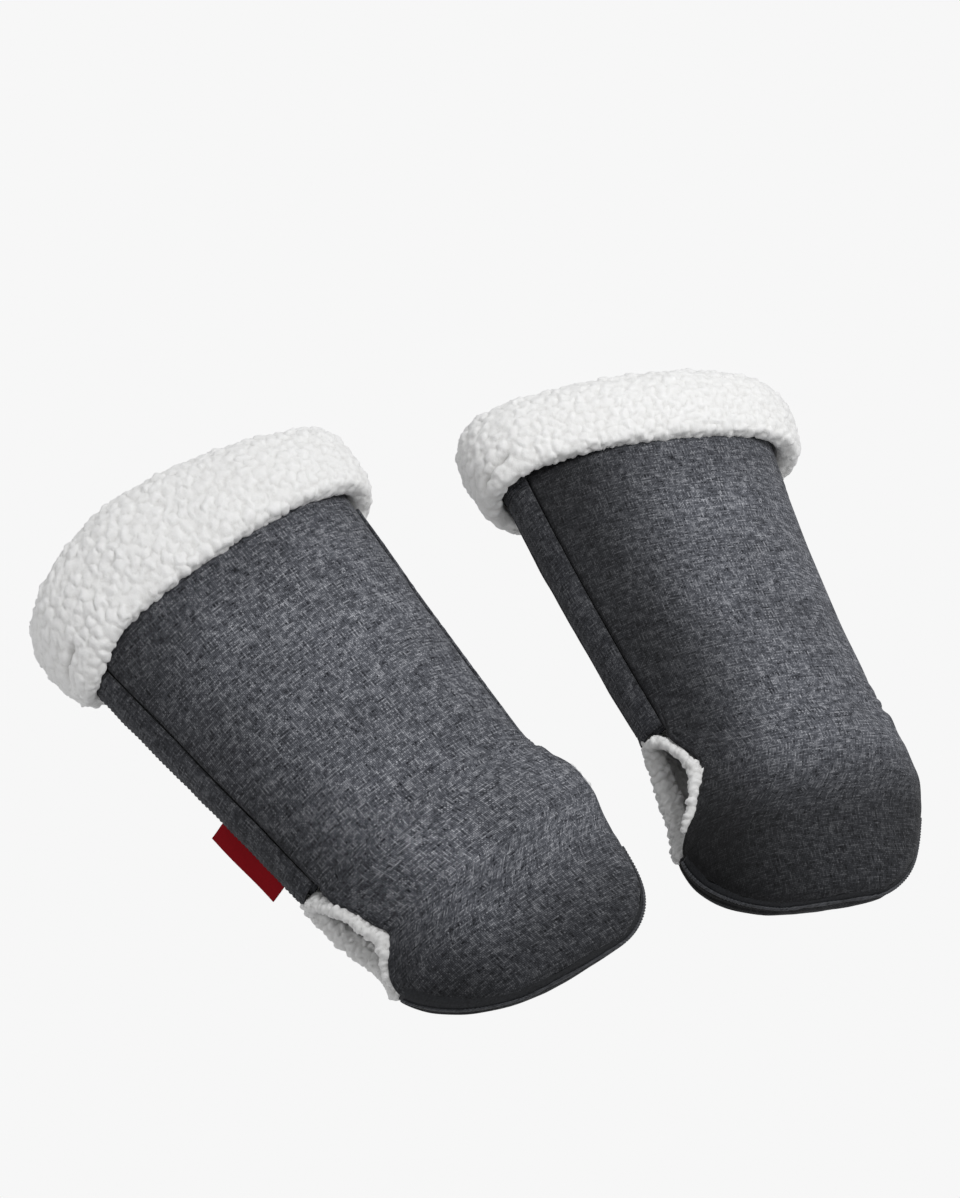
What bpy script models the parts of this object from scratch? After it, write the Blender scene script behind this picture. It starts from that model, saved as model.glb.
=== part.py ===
# Pair of padded hand muffs for a stroller.
# Each muff is a flat, tapered tube: a woven outer shell, a layer of wadding and a curly
# fleece lining, with the fleece turned back as a cuff. A side placket and a lapped toe,
# both closed with hook and loop tape, open between the two side openings, so that the
# muff goes round what runs through them.
# Metres, +Z from toe to cuff, +X through the side openings, the front panels face -Y.
# The origin is midway between the two muffs, on the line through their side openings.

import bpy
import bmesh
from math import sin, cos, asin, pi, radians, degrees
from mathutils import Vector

# Places of the two muffs
PAIR_SPACING = 0.208
PAIR_STAGGER = 0.029
PAIR_RISE = 0.018
SPLAY_DEG = 10.5
TURN_DEG = 7.5

# Outer form of one muff, measured from the line through its side openings
TOP_Z = 0.292
TOP_HALF_WIDTH = 0.1035
TOP_HALF_DEPTH = 0.0385
WAIST_Z = 0.045
WAIST_HALF_WIDTH = 0.082
WAIST_HALF_DEPTH = 0.034
TOE_HALF_WIDTH = 0.0855
TOE_HALF_DEPTH = 0.0335
TOE_DROP = 0.086
RING_POWER = 2.3
TOE_WIDTH_POWER = 2.6
TOE_DEPTH_POWER = 2.2
TOE_CORNER_SHARE = 1.03

# Layers, from the outside in
SHELL = 0.0012
WADDING = 0.0040
LINING = 0.0046
PLY_GAP = 0.0004
SEAM_GAP = 0.0005
TAPE = 0.0010
TAPE_GAP = 0.0006

# Openings in both sides, between the placket and the toe
OPENING_BOTTOM_Z = -0.032
OPENING_END_DEG = 80
OPENING_FRONT_DEG = 52
OPENING_BACK_DEG = 58
OPENING_ROUND_SHARE = 0.7
LIP_WIDTH_DEG = 9
LIP_PROUD = 0.0010
LIP_EDGE_DEPTH = 0.0030

# Side placket, on the left edge of each muff
FLAP_TOP_Z = 0.2456
GROOVE_DEG = 62.4
FLAP_EDGE_DEG = 98
FLAP_THICKNESS = 0.0015
FLAP_TAPE_INSET_DEG = 4
FLAP_TAPE_END_GAP = 0.0050
LABEL_ROOM = 0.0014
UNDERLAP = 0.0015
BACK_EDGE_DEG = 101
HAIR_DEG = 0.6

# Label tab, sewn under the outer edge of the left muff's placket
LABEL_TOP_Z = 0.124
LABEL_LENGTH = 0.058
LABEL_WIDTH = 0.013
LABEL_THICKNESS = 0.0006

# Lapped toe, closed along its rim
LAP_TOP_Z = -0.042
LAP_DEPTH = 0.012
LAP_TAPE_MARGIN = 0.0015
LAP_CLEARANCE = 0.0012
FACING = 0.0013
LAP_SEAT = 0.006

# Turned-back fleece cuff
CUFF_BOTTOM_Z = 0.2470
CUFF_PILE = 0.0120
CUFF_CROWN = 0.0120
CUFF_ROUND = 0.0040
CUFF_SPLIT_DEG = 94
CUFF_SPLIT_GAP_DEG = 1.2

# Sewn trims
PIPING_RADIUS = 0.0011
BINDING_RADIUS = 0.0012
TRIM_GAP = 0.0004

# Mesh counts and shading
AROUND = 12
BODY_ROWS = 4
PLACKET_COLUMNS = 3
OPENING_ROWS = 5
TOE_ROWS = 7
LIP_STEPS = 3
RIM_STEPS = 14
TRIM_STEPS = 13
TRIM_SIDES = 2
SHARP_DEG = 40

LAYERS = SHELL + WADDING + LINING + 2 * PLY_GAP


def clear_scene():
    for item in list(bpy.data.objects):
        bpy.data.objects.remove(item, do_unlink=True)


def make_material(name, color, roughness, metallic=0.0):
    material = bpy.data.materials.new(name)
    material.use_nodes = True
    shader = material.node_tree.nodes["Principled BSDF"]
    shader.inputs["Base Color"].default_value = (*color, 1.0)
    shader.inputs["Roughness"].default_value = roughness
    shader.inputs["Metallic"].default_value = metallic
    material.diffuse_color = (*color, 1.0)
    return material


def signed_power(value, power):
    return abs(value) ** power * (1 if value >= 0 else -1)


def ease(share):
    share = max(0.0, min(1.0, share))
    return share * share * (3 - 2 * share)


def half_size(z, at_top, at_waist, at_toe):
    # straight taper from cuff to waist, then eased over to the toe's size at the openings
    if z >= WAIST_Z:
        return at_waist + (at_top - at_waist) * (z - WAIST_Z) / (TOP_Z - WAIST_Z)
    return at_waist + (at_toe - at_waist) * ease((WAIST_Z - z) / WAIST_Z)


def half_width(z):
    return half_size(z, TOP_HALF_WIDTH, WAIST_HALF_WIDTH, TOE_HALF_WIDTH)


def half_depth(z):
    return half_size(z, TOP_HALF_DEPTH, WAIST_HALF_DEPTH, TOE_HALF_DEPTH)


def toe_cap(z, drop, power):
    # 1 above the side openings' middle, rounding to nothing at the toe's end
    if z >= 0:
        return 1.0
    share = min(-z / drop, 1.0)
    return max(0.0, 1 - share ** power) ** (1 / power)


def toe_z(angle_deg):
    # height at which the toe's rounded end has turned by this angle
    return -TOE_DROP * sin(radians(angle_deg)) ** (2 / TOE_DEPTH_POWER)


def toe_angle(z):
    return degrees(asin((-z / TOE_DROP) ** (TOE_DEPTH_POWER / 2)))


def muff_point(beta_deg, z, inset):
    # a point of the muff's skin: beta is 0 at the front's middle, +90 at the right side,
    # -90 at the left side and 180 at the back's middle
    wide = (half_width(z) - inset) * toe_cap(z, TOE_DROP * TOE_CORNER_SHARE, TOE_WIDTH_POWER)
    deep = (half_depth(z) - inset) * toe_cap(z, TOE_DROP, TOE_DEPTH_POWER)
    beta = radians(beta_deg)
    x = wide * signed_power(sin(beta), 2 / RING_POWER)
    y = -deep * signed_power(cos(beta), 2 / RING_POWER)
    if z < 0:
        z = z * (TOE_DROP - inset) / TOE_DROP
    return Vector((x, y, z))


def front_point(beta_deg, z, inset):
    point = muff_point(beta_deg, z, inset)
    point.y = min(point.y, -SEAM_GAP / 2)
    return point


def back_point(beta_deg, z, inset):
    point = muff_point(beta_deg, z, inset)
    if point.x > 0 or z < WAIST_Z:
        point.y = max(point.y, SEAM_GAP / 2)
    return point


def rim_point(turn, y, inset):
    # a point on the toe's rim, in front of the seam where y is negative: turn runs from
    # -1 at the left end, through 0 at the bottom, to +1 at the right end
    deep = TOE_HALF_DEPTH - inset
    reach = (1 - (abs(y) / deep) ** TOE_DEPTH_POWER) ** (1 / TOE_DEPTH_POWER)
    bottom = -TOE_DROP * reach
    z = LAP_TOP_Z + (bottom - LAP_TOP_Z) * cos(turn * pi / 2)
    wide = (half_width(z) - inset) * toe_cap(z, TOE_DROP * TOE_CORNER_SHARE, TOE_WIDTH_POWER)
    level = abs(y) / max(deep * toe_cap(z, TOE_DROP, TOE_DEPTH_POWER), abs(y))
    x = wide * (1 - level ** RING_POWER) ** (1 / RING_POWER)
    return Vector((x * (1 if turn >= 0 else -1), y, z * (TOE_DROP - inset) / TOE_DROP))


def spread(start, end, steps):
    return [start + (end - start) * i / steps for i in range(steps + 1)]


def opening_edge(z, middle_deg):
    # how far round the edge of a side opening lies, in degrees from the panel's middle
    if z <= OPENING_BOTTOM_Z:
        return 90
    share = (z - OPENING_BOTTOM_Z) / (WAIST_Z - OPENING_BOTTOM_Z)
    bite = sin(pi * max(0.0, min(1.0, share))) ** OPENING_ROUND_SHARE
    return OPENING_END_DEG - (OPENING_END_DEG - middle_deg) * bite


def opening_rows():
    top = WAIST_Z - SEAM_GAP
    return spread(top, OPENING_BOTTOM_Z + SEAM_GAP, OPENING_ROWS)


def toe_rows():
    start = toe_angle(LAP_TOP_Z)
    return [toe_z(angle) for angle in spread(start, 90, TOE_ROWS)]


def solid_between(name, outer, inner, parent, material):
    # a closed solid between two skins of the same rows and columns
    rows = len(outer)
    columns = len(outer[0])
    bm = bmesh.new()
    out = [[bm.verts.new(p) for p in row] for row in outer]
    inn = [[bm.verts.new(p) for p in row] for row in inner]
    # both skins are split along the same diagonals, so that stacked layers stay clear
    for skin in (out, inn):
        for i in range(rows - 1):
            for j in range(columns - 1):
                bm.faces.new((skin[i][j], skin[i][j + 1], skin[i + 1][j + 1]))
                bm.faces.new((skin[i][j], skin[i + 1][j + 1], skin[i + 1][j]))
    for i in range(rows - 1):
        bm.faces.new((out[i][0], out[i + 1][0], inn[i + 1][0], inn[i][0]))
        bm.faces.new((out[i][-1], inn[i][-1], inn[i + 1][-1], out[i + 1][-1]))
    for j in range(columns - 1):
        bm.faces.new((out[0][j], inn[0][j], inn[0][j + 1], out[0][j + 1]))
        bm.faces.new((out[-1][j], out[-1][j + 1], inn[-1][j + 1], inn[-1][j]))
    bmesh.ops.recalc_face_normals(bm, faces=bm.faces)
    return finish_mesh(name, bm, parent, material)


def finish_mesh(name, bm, parent, material):
    mesh = bpy.data.meshes.new(name)
    bm.to_mesh(mesh)
    bm.free()
    mesh.shade_smooth()
    mesh.set_sharp_from_angle(angle=radians(SHARP_DEG))
    return place(name, mesh, parent, material)


def place(name, data, parent, material):
    # every piece is drawn in its muff's own frame, also when a hinge carries it
    piece = bpy.data.objects.new(name, data)
    piece.parent = parent
    piece.location = -parent.location if parent.get("hinge") else Vector()
    data.materials.append(material)
    collection.objects.link(piece)
    return piece


def make_empty(name, location, parent=None, rotation=(0, 0, 0), hinge=False):
    empty = bpy.data.objects.new(name, None)
    empty.location = location
    empty.rotation_euler = rotation
    empty.parent = parent
    if hinge:
        empty["hinge"] = True
    collection.objects.link(empty)
    return empty


def ply(name, point, rows, edges, depth, thickness, parent, material, columns=AROUND):
    # one layer of cloth: edges(z) gives where the row starts and ends round the muff
    outer = []
    inner = []
    for z in rows:
        start, end = edges(z)
        angles = spread(start, end, columns)
        outer.append([point(a, z, depth) for a in angles])
        inner.append([point(a, z, depth + thickness) for a in angles])
    return solid_between(name, outer, inner, parent, material)


def layer_depths():
    # outer depth and thickness of the shell, the wadding and the lining
    wadding = SHELL + PLY_GAP
    lining = wadding + WADDING + PLY_GAP
    return {"shell": (0, SHELL), "wadding": (wadding, WADDING), "lining": (lining, LINING)}


def front_panel(side, body):
    # the front from waist to cuff, between the placket's groove and the right seam
    rows = spread(WAIST_Z + SEAM_GAP, TOP_Z, BODY_ROWS)
    for layer, (depth, thickness) in layer_depths().items():
        ply(f"{side}_front_{layer}", right_seam_point, rows, lambda z: (-GROOVE_DEG, 90),
            depth, thickness, body, LAYER_MATERIALS[layer])


def right_seam_point(beta_deg, z, inset):
    point = muff_point(beta_deg, z, inset)
    if point.x > 0:
        point.y = min(point.y, -SEAM_GAP / 2)
    return point


def back_panel(side, body):
    # the back runs in one piece from the cuff to the toe's rim
    rows = spread(TOP_Z, WAIST_Z + SEAM_GAP, BODY_ROWS) + opening_rows() + toe_rows()

    def edges(z):
        if z > WAIST_Z:
            return (90, 360 - BACK_EDGE_DEG)
        edge = opening_edge(z, OPENING_BACK_DEG)
        return (180 - edge, 180 + edge)

    for layer, (depth, thickness) in layer_depths().items():
        ply(f"{side}_back_{layer}", back_point, rows, edges, depth, thickness,
            body, LAYER_MATERIALS[layer])


def toe_flap(side, hinge):
    # the front of the toe swings up from the waist
    def edges(z):
        edge = opening_edge(z, OPENING_FRONT_DEG)
        return (-edge, edge)

    for layer, (depth, thickness) in layer_depths().items():
        ply(f"{side}_toe_flap_{layer}", front_point, opening_rows() + toe_rows(), edges,
            depth, thickness, hinge, LAYER_MATERIALS[layer])


def opening_lip(name, point, middle_deg, side_sign, is_back, parent):
    # a soft roll of fleece along one edge of a side opening
    outer = []
    inner = []
    depth_out = [LIP_EDGE_DEPTH, -LIP_PROUD, -LIP_PROUD, LIP_EDGE_DEPTH]
    depth_in = [LAYERS - LIP_EDGE_DEPTH, LAYERS + LIP_PROUD, LAYERS + LIP_PROUD, LAYERS - LIP_EDGE_DEPTH]
    for z in opening_rows():
        edge = opening_edge(z, middle_deg)
        angles = spread(edge + HAIR_DEG, edge + LIP_WIDTH_DEG, LIP_STEPS)
        if is_back:
            angles = [180 - a for a in angles]
        angles = [side_sign * a for a in angles]
        outer.append([point(a, z, d) for a, d in zip(angles, depth_out)])
        inner.append([point(a, z, d) for a, d in zip(angles, depth_in)])
    return solid_between(name, outer, inner, parent, MATERIALS["fleece"])


def placket(side, body, hinge):
    # the hem strip that laps over the back panel's edge, and its two tapes
    def strip(name, start_deg, end_deg, low, high, depth, thickness, parent, material):
        return ply(name, muff_point, spread(low, high, BODY_ROWS - 1),
                   lambda z: (-end_deg, -start_deg), depth, thickness, parent, material,
                   columns=PLACKET_COLUMNS)

    low = WAIST_Z + SEAM_GAP
    strip(f"{side}_placket_flap", GROOVE_DEG + HAIR_DEG, FLAP_EDGE_DEG, low, FLAP_TOP_Z,
          0, FLAP_THICKNESS, hinge, MATERIALS["shell"])
    strip(f"{side}_placket_head", GROOVE_DEG + HAIR_DEG, FLAP_EDGE_DEG, FLAP_TOP_Z + SEAM_GAP, TOP_Z,
          0, FLAP_THICKNESS, body, MATERIALS["shell"])
    hook_depth = FLAP_THICKNESS + LABEL_ROOM
    loop_depth = hook_depth + TAPE + TAPE_GAP
    underlap_depth = loop_depth + TAPE + PLY_GAP
    tape_start = GROOVE_DEG + FLAP_TAPE_INSET_DEG
    tape_end = FLAP_EDGE_DEG - FLAP_TAPE_INSET_DEG
    tape_low = low + FLAP_TAPE_END_GAP
    tape_high = FLAP_TOP_Z - FLAP_TAPE_END_GAP
    strip(f"{side}_placket_hook_tape", tape_start, tape_end, tape_low, tape_high,
          hook_depth, TAPE, hinge, MATERIALS["hook"])
    strip(f"{side}_placket_loop_tape", tape_start, tape_end, tape_low, tape_high,
          loop_depth, TAPE, body, MATERIALS["loop"])
    strip(f"{side}_placket_underlap", GROOVE_DEG + 2 * HAIR_DEG, BACK_EDGE_DEG - HAIR_DEG, low, TOP_Z,
          underlap_depth, UNDERLAP, body, MATERIALS["shell"])


def label_tab(side, hinge):
    # the tab leaves from under the flap, turns out through the gap and stands off the back
    start = FLAP_THICKNESS + (LABEL_ROOM - LABEL_THICKNESS) / 2
    path = [
        (FLAP_EDGE_DEG - 3 * FLAP_TAPE_INSET_DEG, start),
        (FLAP_EDGE_DEG, start),
        (FLAP_EDGE_DEG + 2 * HAIR_DEG, 0),
        (BACK_EDGE_DEG + HAIR_DEG, -2 * LABEL_THICKNESS),
    ]
    outer = []
    inner = []
    for z in (LABEL_TOP_Z, LABEL_TOP_Z - LABEL_LENGTH / 2, LABEL_TOP_Z - LABEL_LENGTH):
        near = [muff_point(-a, z, d) for a, d in path]
        far = [muff_point(-a, z, d + LABEL_THICKNESS) for a, d in path]
        along = (near[-1] - near[-2]).normalized()
        near.append(near[-1] + along * LABEL_WIDTH)
        far.append(far[-1] + along * LABEL_WIDTH)
        outer.append(near)
        inner.append(far)
    return solid_between(f"{side}_label_tab", outer, inner, hinge, MATERIALS["label"])


def rim_band(name, levels, parent, material):
    # levels: distance in front of the seam, outer depth and inner depth
    turns = spread(-1, 1, RIM_STEPS)
    outer = [[rim_point(t, y, near) for y, near, far in levels] for t in turns]
    inner = [[rim_point(t, y, far) for y, near, far in levels] for t in turns]
    return solid_between(name, outer, inner, parent, material)


def toe_lap(side, body, hinge):
    # inside the toe's rim, the flap's lining laps over a facing sewn to the back's lining
    hook = LAYERS + LAP_CLEARANCE
    loop = hook + TAPE + TAPE_GAP
    under = loop + TAPE + TAPE_GAP
    seat = LAYERS + LAP_CLEARANCE / 2
    front = -LAP_DEPTH + LAP_TAPE_MARGIN
    back = -LAP_TAPE_MARGIN
    rim_band(f"{side}_toe_hook_tape", [(front, hook, hook + TAPE), (back, hook, hook + TAPE)],
             hinge, MATERIALS["hook"])
    rim_band(f"{side}_toe_loop_tape", [(front, loop, loop + TAPE), (back, loop, loop + TAPE)],
             body, MATERIALS["loop"])
    rim_band(f"{side}_toe_facing",
             [(-LAP_DEPTH, under, under + FACING), (-SEAM_GAP, under, under + FACING),
              (LAP_TAPE_MARGIN, seat, under + FACING), (LAP_SEAT, seat, seat + FACING)],
             body, MATERIALS["shell"])


def trim_cord(name, points, radius, parent, material):
    curve = bpy.data.curves.new(name, "CURVE")
    curve.dimensions = "3D"
    curve.bevel_depth = radius
    curve.bevel_resolution = TRIM_SIDES
    curve.use_fill_caps = True
    spline = curve.splines.new("POLY")
    spline.points.add(len(points) - 1)
    for target, point in zip(spline.points, points):
        target.co = (*point, 1)
    return place(name, curve, parent, material)


def trims(side, body, hinge):
    stand_off = PIPING_RADIUS + TRIM_GAP
    seam = [muff_point(90, z, -stand_off)
            for z in spread(WAIST_Z + SEAM_GAP, CUFF_BOTTOM_Z - SEAM_GAP - PIPING_RADIUS, 2)]
    trim_cord(f"{side}_side_piping", seam, PIPING_RADIUS, body, MATERIALS["shell"])
    stand_off = BINDING_RADIUS + TRIM_GAP
    rim = [rim_point(t, -2 * BINDING_RADIUS, -stand_off) for t in spread(-1, 1, TRIM_STEPS)]
    trim_cord(f"{side}_toe_binding", rim, BINDING_RADIUS, hinge, MATERIALS["binding"])


def cuff_section():
    # the turned-back fleece, as outward offset from the shell and height
    clear = PLY_GAP
    low = CUFF_BOTTOM_Z
    seat = TOP_Z + PLY_GAP
    crown = TOP_Z + CUFF_CROWN
    r = CUFF_ROUND
    inside = -LAYERS - CUFF_ROUND / 8
    return [
        (clear, low + r / 2), (clear + r, low), (CUFF_PILE - r, low), (CUFF_PILE, low + r),
        (CUFF_PILE + r / 4, (low + crown) / 2), (CUFF_PILE, crown - 2 * r), (CUFF_PILE - r, crown - r / 2),
        (0, crown), (inside + r, crown - r / 4), (inside, crown - r), (inside, seat), (clear, seat),
    ]


def cuff_half(name, angles, point, parent):
    section = cuff_section()
    bm = bmesh.new()
    rings = []
    for angle in angles:
        rings.append([bm.verts.new(point(angle, z, -offset)) for offset, z in section])
    count = len(section)
    for near, far in zip(rings, rings[1:]):
        for k in range(count):
            bm.faces.new((near[k], near[(k + 1) % count], far[(k + 1) % count], far[k]))
    bm.faces.new(rings[0])
    bm.faces.new(list(reversed(rings[-1])))
    bmesh.ops.recalc_face_normals(bm, faces=bm.faces)
    return finish_mesh(name, bm, parent, MATERIALS["fleece"])


def right_back_point(beta_deg, z, inset):
    point = muff_point(beta_deg, z, inset)
    if point.x > 0:
        point.y = max(point.y, SEAM_GAP / 2)
    return point


def cuffs(side, body):
    # each half is bent at the same angles as the shell that it wraps
    placket_turns = spread(-FLAP_EDGE_DEG, -GROOVE_DEG - HAIR_DEG, PLACKET_COLUMNS)
    front = [-CUFF_SPLIT_DEG] + [a for a in placket_turns if a > -CUFF_SPLIT_DEG]
    front += spread(-GROOVE_DEG, 90, AROUND)
    back = spread(90, 360 - BACK_EDGE_DEG, AROUND) + [360 - CUFF_SPLIT_DEG - CUFF_SPLIT_GAP_DEG]
    cuff_half(f"{side}_cuff_front", front, right_seam_point, body)
    cuff_half(f"{side}_cuff_back", back, right_back_point, body)


def opening_lips(side, side_sign, body, hinge):
    # the outer opening is on the muff's far side, the inner one faces the other muff
    for where, sign in (("outer", side_sign), ("inner", -side_sign)):
        opening_lip(f"{side}_{where}_lip_front", front_point, OPENING_FRONT_DEG, sign, False, hinge)
        opening_lip(f"{side}_{where}_lip_back", back_point, OPENING_BACK_DEG, sign, True, body)


def build_muff(side, sign):
    # sign is -1 for the left muff and +1 for the right one
    body = make_empty(f"{side}_muff_place",
                      (sign * PAIR_SPACING / 2, sign * PAIR_STAGGER / 2, -sign * PAIR_RISE / 2),
                      rotation=(0, sign * radians(SPLAY_DEG), 0))
    turn = make_empty(f"{side}_muff_turn", (0, 0, 0), body,
                      rotation=(0, 0, sign * radians(TURN_DEG)))
    toe_hinge = make_empty(f"{side}_toe_hinge", muff_point(0, WAIST_Z, 0), turn, hinge=True)
    placket_hinge = make_empty(f"{side}_placket_hinge", muff_point(-GROOVE_DEG, WAIST_Z, 0), turn,
                               hinge=True)
    front_panel(side, turn)
    back_panel(side, turn)
    toe_flap(side, toe_hinge)
    placket(side, turn, placket_hinge)
    toe_lap(side, turn, toe_hinge)
    opening_lips(side, sign, turn, toe_hinge)
    cuffs(side, turn)
    trims(side, turn, toe_hinge)
    if side == "left":
        label_tab(side, placket_hinge)


clear_scene()
collection = bpy.data.collections.new("stroller_hand_muffs")
bpy.context.scene.collection.children.link(collection)

MATERIALS = {
    "shell": make_material("woven_shell", (0.085, 0.092, 0.108), 0.85),
    "wadding": make_material("wadding", (0.80, 0.80, 0.78), 0.95),
    "fleece": make_material("curly_fleece", (0.86, 0.86, 0.85), 0.95),
    "hook": make_material("hook_tape", (0.045, 0.048, 0.052), 0.55),
    "loop": make_material("loop_tape", (0.055, 0.058, 0.064), 0.90),
    "binding": make_material("toe_binding", (0.20, 0.21, 0.23), 0.50),
    "label": make_material("label_tab", (0.33, 0.008, 0.016), 0.65),
}
LAYER_MATERIALS = {"shell": MATERIALS["shell"], "wadding": MATERIALS["wadding"], "lining": MATERIALS["fleece"]}

build_muff("left", -1)
build_muff("right", 1)
bpy.context.view_layer.update()
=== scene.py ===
# A pair of padded stroller hand muffs: woven shells, curly fleece cuffs, side plackets and lapped toes.
import bpy
import bmesh
import numpy as np
from math import radians, sin, cos, pi
from mathutils import Matrix, Vector, bvhtree, kdtree, noise


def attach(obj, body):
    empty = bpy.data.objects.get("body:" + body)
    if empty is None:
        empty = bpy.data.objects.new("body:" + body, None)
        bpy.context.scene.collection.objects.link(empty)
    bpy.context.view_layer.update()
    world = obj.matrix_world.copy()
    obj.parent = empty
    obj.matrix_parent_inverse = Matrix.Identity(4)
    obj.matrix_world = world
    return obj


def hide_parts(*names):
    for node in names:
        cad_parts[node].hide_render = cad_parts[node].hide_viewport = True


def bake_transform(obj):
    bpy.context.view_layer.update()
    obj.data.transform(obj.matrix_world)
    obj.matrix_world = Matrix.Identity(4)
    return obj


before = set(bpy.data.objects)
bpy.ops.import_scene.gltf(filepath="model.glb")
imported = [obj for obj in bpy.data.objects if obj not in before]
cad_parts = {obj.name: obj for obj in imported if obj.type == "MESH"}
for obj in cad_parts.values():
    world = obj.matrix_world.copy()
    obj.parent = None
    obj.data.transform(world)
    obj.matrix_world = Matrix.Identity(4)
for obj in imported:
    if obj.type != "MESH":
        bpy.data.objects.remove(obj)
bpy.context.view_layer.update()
scene = bpy.context.scene
noise.seed_set(7)  # the noise vectors start from the clock otherwise
print("frame loaded:", len(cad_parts), "solids")

# one muff's outer skin, in its own frame: +Z to the cuff, the front faces -Y
muffForm = {
    "topZ": 0.292, "topHalfWidth": 0.1035, "topHalfDepth": 0.0385,
    "waistZ": 0.045, "waistHalfWidth": 0.082, "waistHalfDepth": 0.034,
    "toeHalfWidth": 0.0855, "toeHalfDepth": 0.0335, "toeDrop": 0.086,
    "ringPower": 2.3, "toeWidthPower": 2.6, "toeDepthPower": 2.2, "toeCornerShare": 1.03,
    "grooveDeg": 62.4, "flapEdgeDeg": 98, "backEdgeDeg": 99.6,
}
openings = {
    "left": {"topZ": 0.049, "bottomZ": -0.038, "frontDeg": 50, "backDeg": 58, "round": 0.75, "skew": 0.66},
    "right": {"topZ": 0.040, "bottomZ": -0.036, "frontDeg": 77, "backDeg": 60, "round": 0.75, "skew": 0.80},
}
# the front's edge at the left opening, as it is pulled on each muff: height, then turn from the front's
# middle; it is read finely and its corners are eased
pulledEdge = {
    "z": (0.0490, 0.0420, 0.0330, 0.0250, 0.0150, 0.0060, -0.0020, -0.0090, -0.0150, -0.0210, -0.0270,
          -0.0330, -0.0380),
    -1: (64.0, 64.5, 64.0, 61.0, 56.0, 54.0, 52.0, 48.5, 54.0, 63.0, 72.0, 82.0, 90.0),
    1: (64.0, 64.5, 62.0, 56.0, 49.0, 46.0, 50.0, 54.0, 57.0, 62.0, 71.0, 81.0, 90.0),
    "topZ": 0.040, "reading": (-0.05, 0.06, 111), "soft": 13,
}
layers = {"shell": (0.0, 0.0012), "wadding": (0.0032, 0.0024), "lining": (0.0060, 0.0046)}
pair = {"spacing": 0.208, "stagger": 0.029, "rise": 0.018, "splayDeg": 10.5, "turnDeg": 7.5}
sides = {"left": -1, "right": 1}


def muffMatrix(sign):
    place = Vector((pair["spacing"], pair["stagger"], -pair["rise"])) * (sign / 2)
    splay = Matrix.Rotation(sign * radians(pair["splayDeg"]), 4, "Y")
    turn = Matrix.Rotation(sign * radians(pair["turnDeg"]), 4, "Z")
    return Matrix.Translation(place) @ splay @ turn


def easeShare(share):
    share = np.clip(share, 0.0, 1.0)
    return share * share * (3 - 2 * share)


def halfSize(z, way):
    # half of the skin's Width or Depth at this height
    top, waist, toe = (muffForm[level + "Half" + way] for level in ("top", "waist", "toe"))
    waistZ = muffForm["waistZ"]
    above = waist + (top - waist) * (z - waistZ) / (muffForm["topZ"] - waistZ)
    below = waist + (toe - waist) * easeShare((waistZ - z) / waistZ)
    return np.where(z >= waistZ, above, below)


def toeCap(z, way):
    # how much of its Width or Depth the skin keeps at this height of the rounded toe
    power = muffForm["toe" + way + "Power"]
    drop = muffForm["toeDrop"] * (muffForm["toeCornerShare"] if way == "Width" else 1)
    share = np.clip(-z / drop, 0.0, 1.0)
    return np.maximum(1 - share ** power, 0.0) ** (1 / power)


def skin(beta, z, inset):
    # beta is 0 at the front's middle, +90 at the right side, -90 at the left and 180 at the back
    form = muffForm
    beta, z, inset = np.broadcast_arrays(np.radians(beta), z, inset)
    wide = (halfSize(z, "Width") - inset) * toeCap(z, "Width")
    deep = (halfSize(z, "Depth") - inset) * toeCap(z, "Depth")
    bend = 2 / form["ringPower"]
    x = wide * np.sign(np.sin(beta)) * np.abs(np.sin(beta)) ** bend
    y = -deep * np.sign(np.cos(beta)) * np.abs(np.cos(beta)) ** bend
    height = np.where(z < 0, z * (form["toeDrop"] - inset) / form["toeDrop"], z)
    return np.stack([x, y, height], axis=-1)


def openingEdge(z, opening, middle):
    # how far from its own middle a panel reaches at this height, where a side opening bites into it
    share = np.clip((z - opening["bottomZ"]) / (opening["topZ"] - opening["bottomZ"]), 0.0, 1.0)
    bite = np.sin(pi * share ** opening["skew"]) ** opening["round"]
    return 90 - (90 - opening[middle]) * bite


def alongPath(points):
    # how far each point lies along the path from its first one
    steps = np.linalg.norm(np.diff(points, axis=0), axis=-1)
    return np.concatenate([np.zeros_like(steps[:1]), np.cumsum(steps, axis=0)])


def readAlong(at, along, values):
    # values given along a path, one row for each point, read at other places of it
    return np.stack([np.interp(at, along, column) for column in np.transpose(values)], axis=-1)


def readSoftly(at, reading, stations, values, kernel):
    # a table read as one smooth curve: read finely, blurred with the kernel and read again
    fine = np.linspace(*reading)
    read = np.pad(np.interp(fine, stations, values), len(kernel) // 2, mode="edge")
    return np.interp(at, fine, np.convolve(read, kernel / kernel.sum(), mode="valid"))


def pulledDeg(z, sign):
    edge = pulledEdge
    kernel = np.hanning(edge["soft"])[1:-1]
    return readSoftly(z, edge["reading"], edge["z"][::-1], edge[sign][::-1], kernel)


def frontEdges(sign):
    def edges(z):
        left = np.where(z > pulledEdge["topZ"], muffForm["grooveDeg"], pulledDeg(z, sign))
        return -left, openingEdge(z, openings["right"], "frontDeg")
    return edges


def backEdges(sign):
    def edges(z):
        left = 180 + openingEdge(z, openings["left"], "backDeg")
        left = np.where(z > muffForm["waistZ"], 360 - muffForm["backEdgeDeg"], left)
        return 180 - openingEdge(z, openings["right"], "backDeg"), left
    return edges


def heights(spacing):
    # heights evenly spaced along a panel's middle, from its top round to the toe's end
    turn = np.linspace(0, pi / 2, 200)
    toeZ = -muffForm["toeDrop"] * np.sin(turn) ** (2 / muffForm["toeDepthPower"])
    z = np.concatenate([[muffForm["topZ"]], toeZ])
    along = alongPath(np.stack([z, muffForm["toeHalfDepth"] * toeCap(z, "Depth")], axis=-1))
    count = int(along[-1] / spacing) + 1
    return np.interp(np.linspace(0, along[-1], count), along, z)


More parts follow.
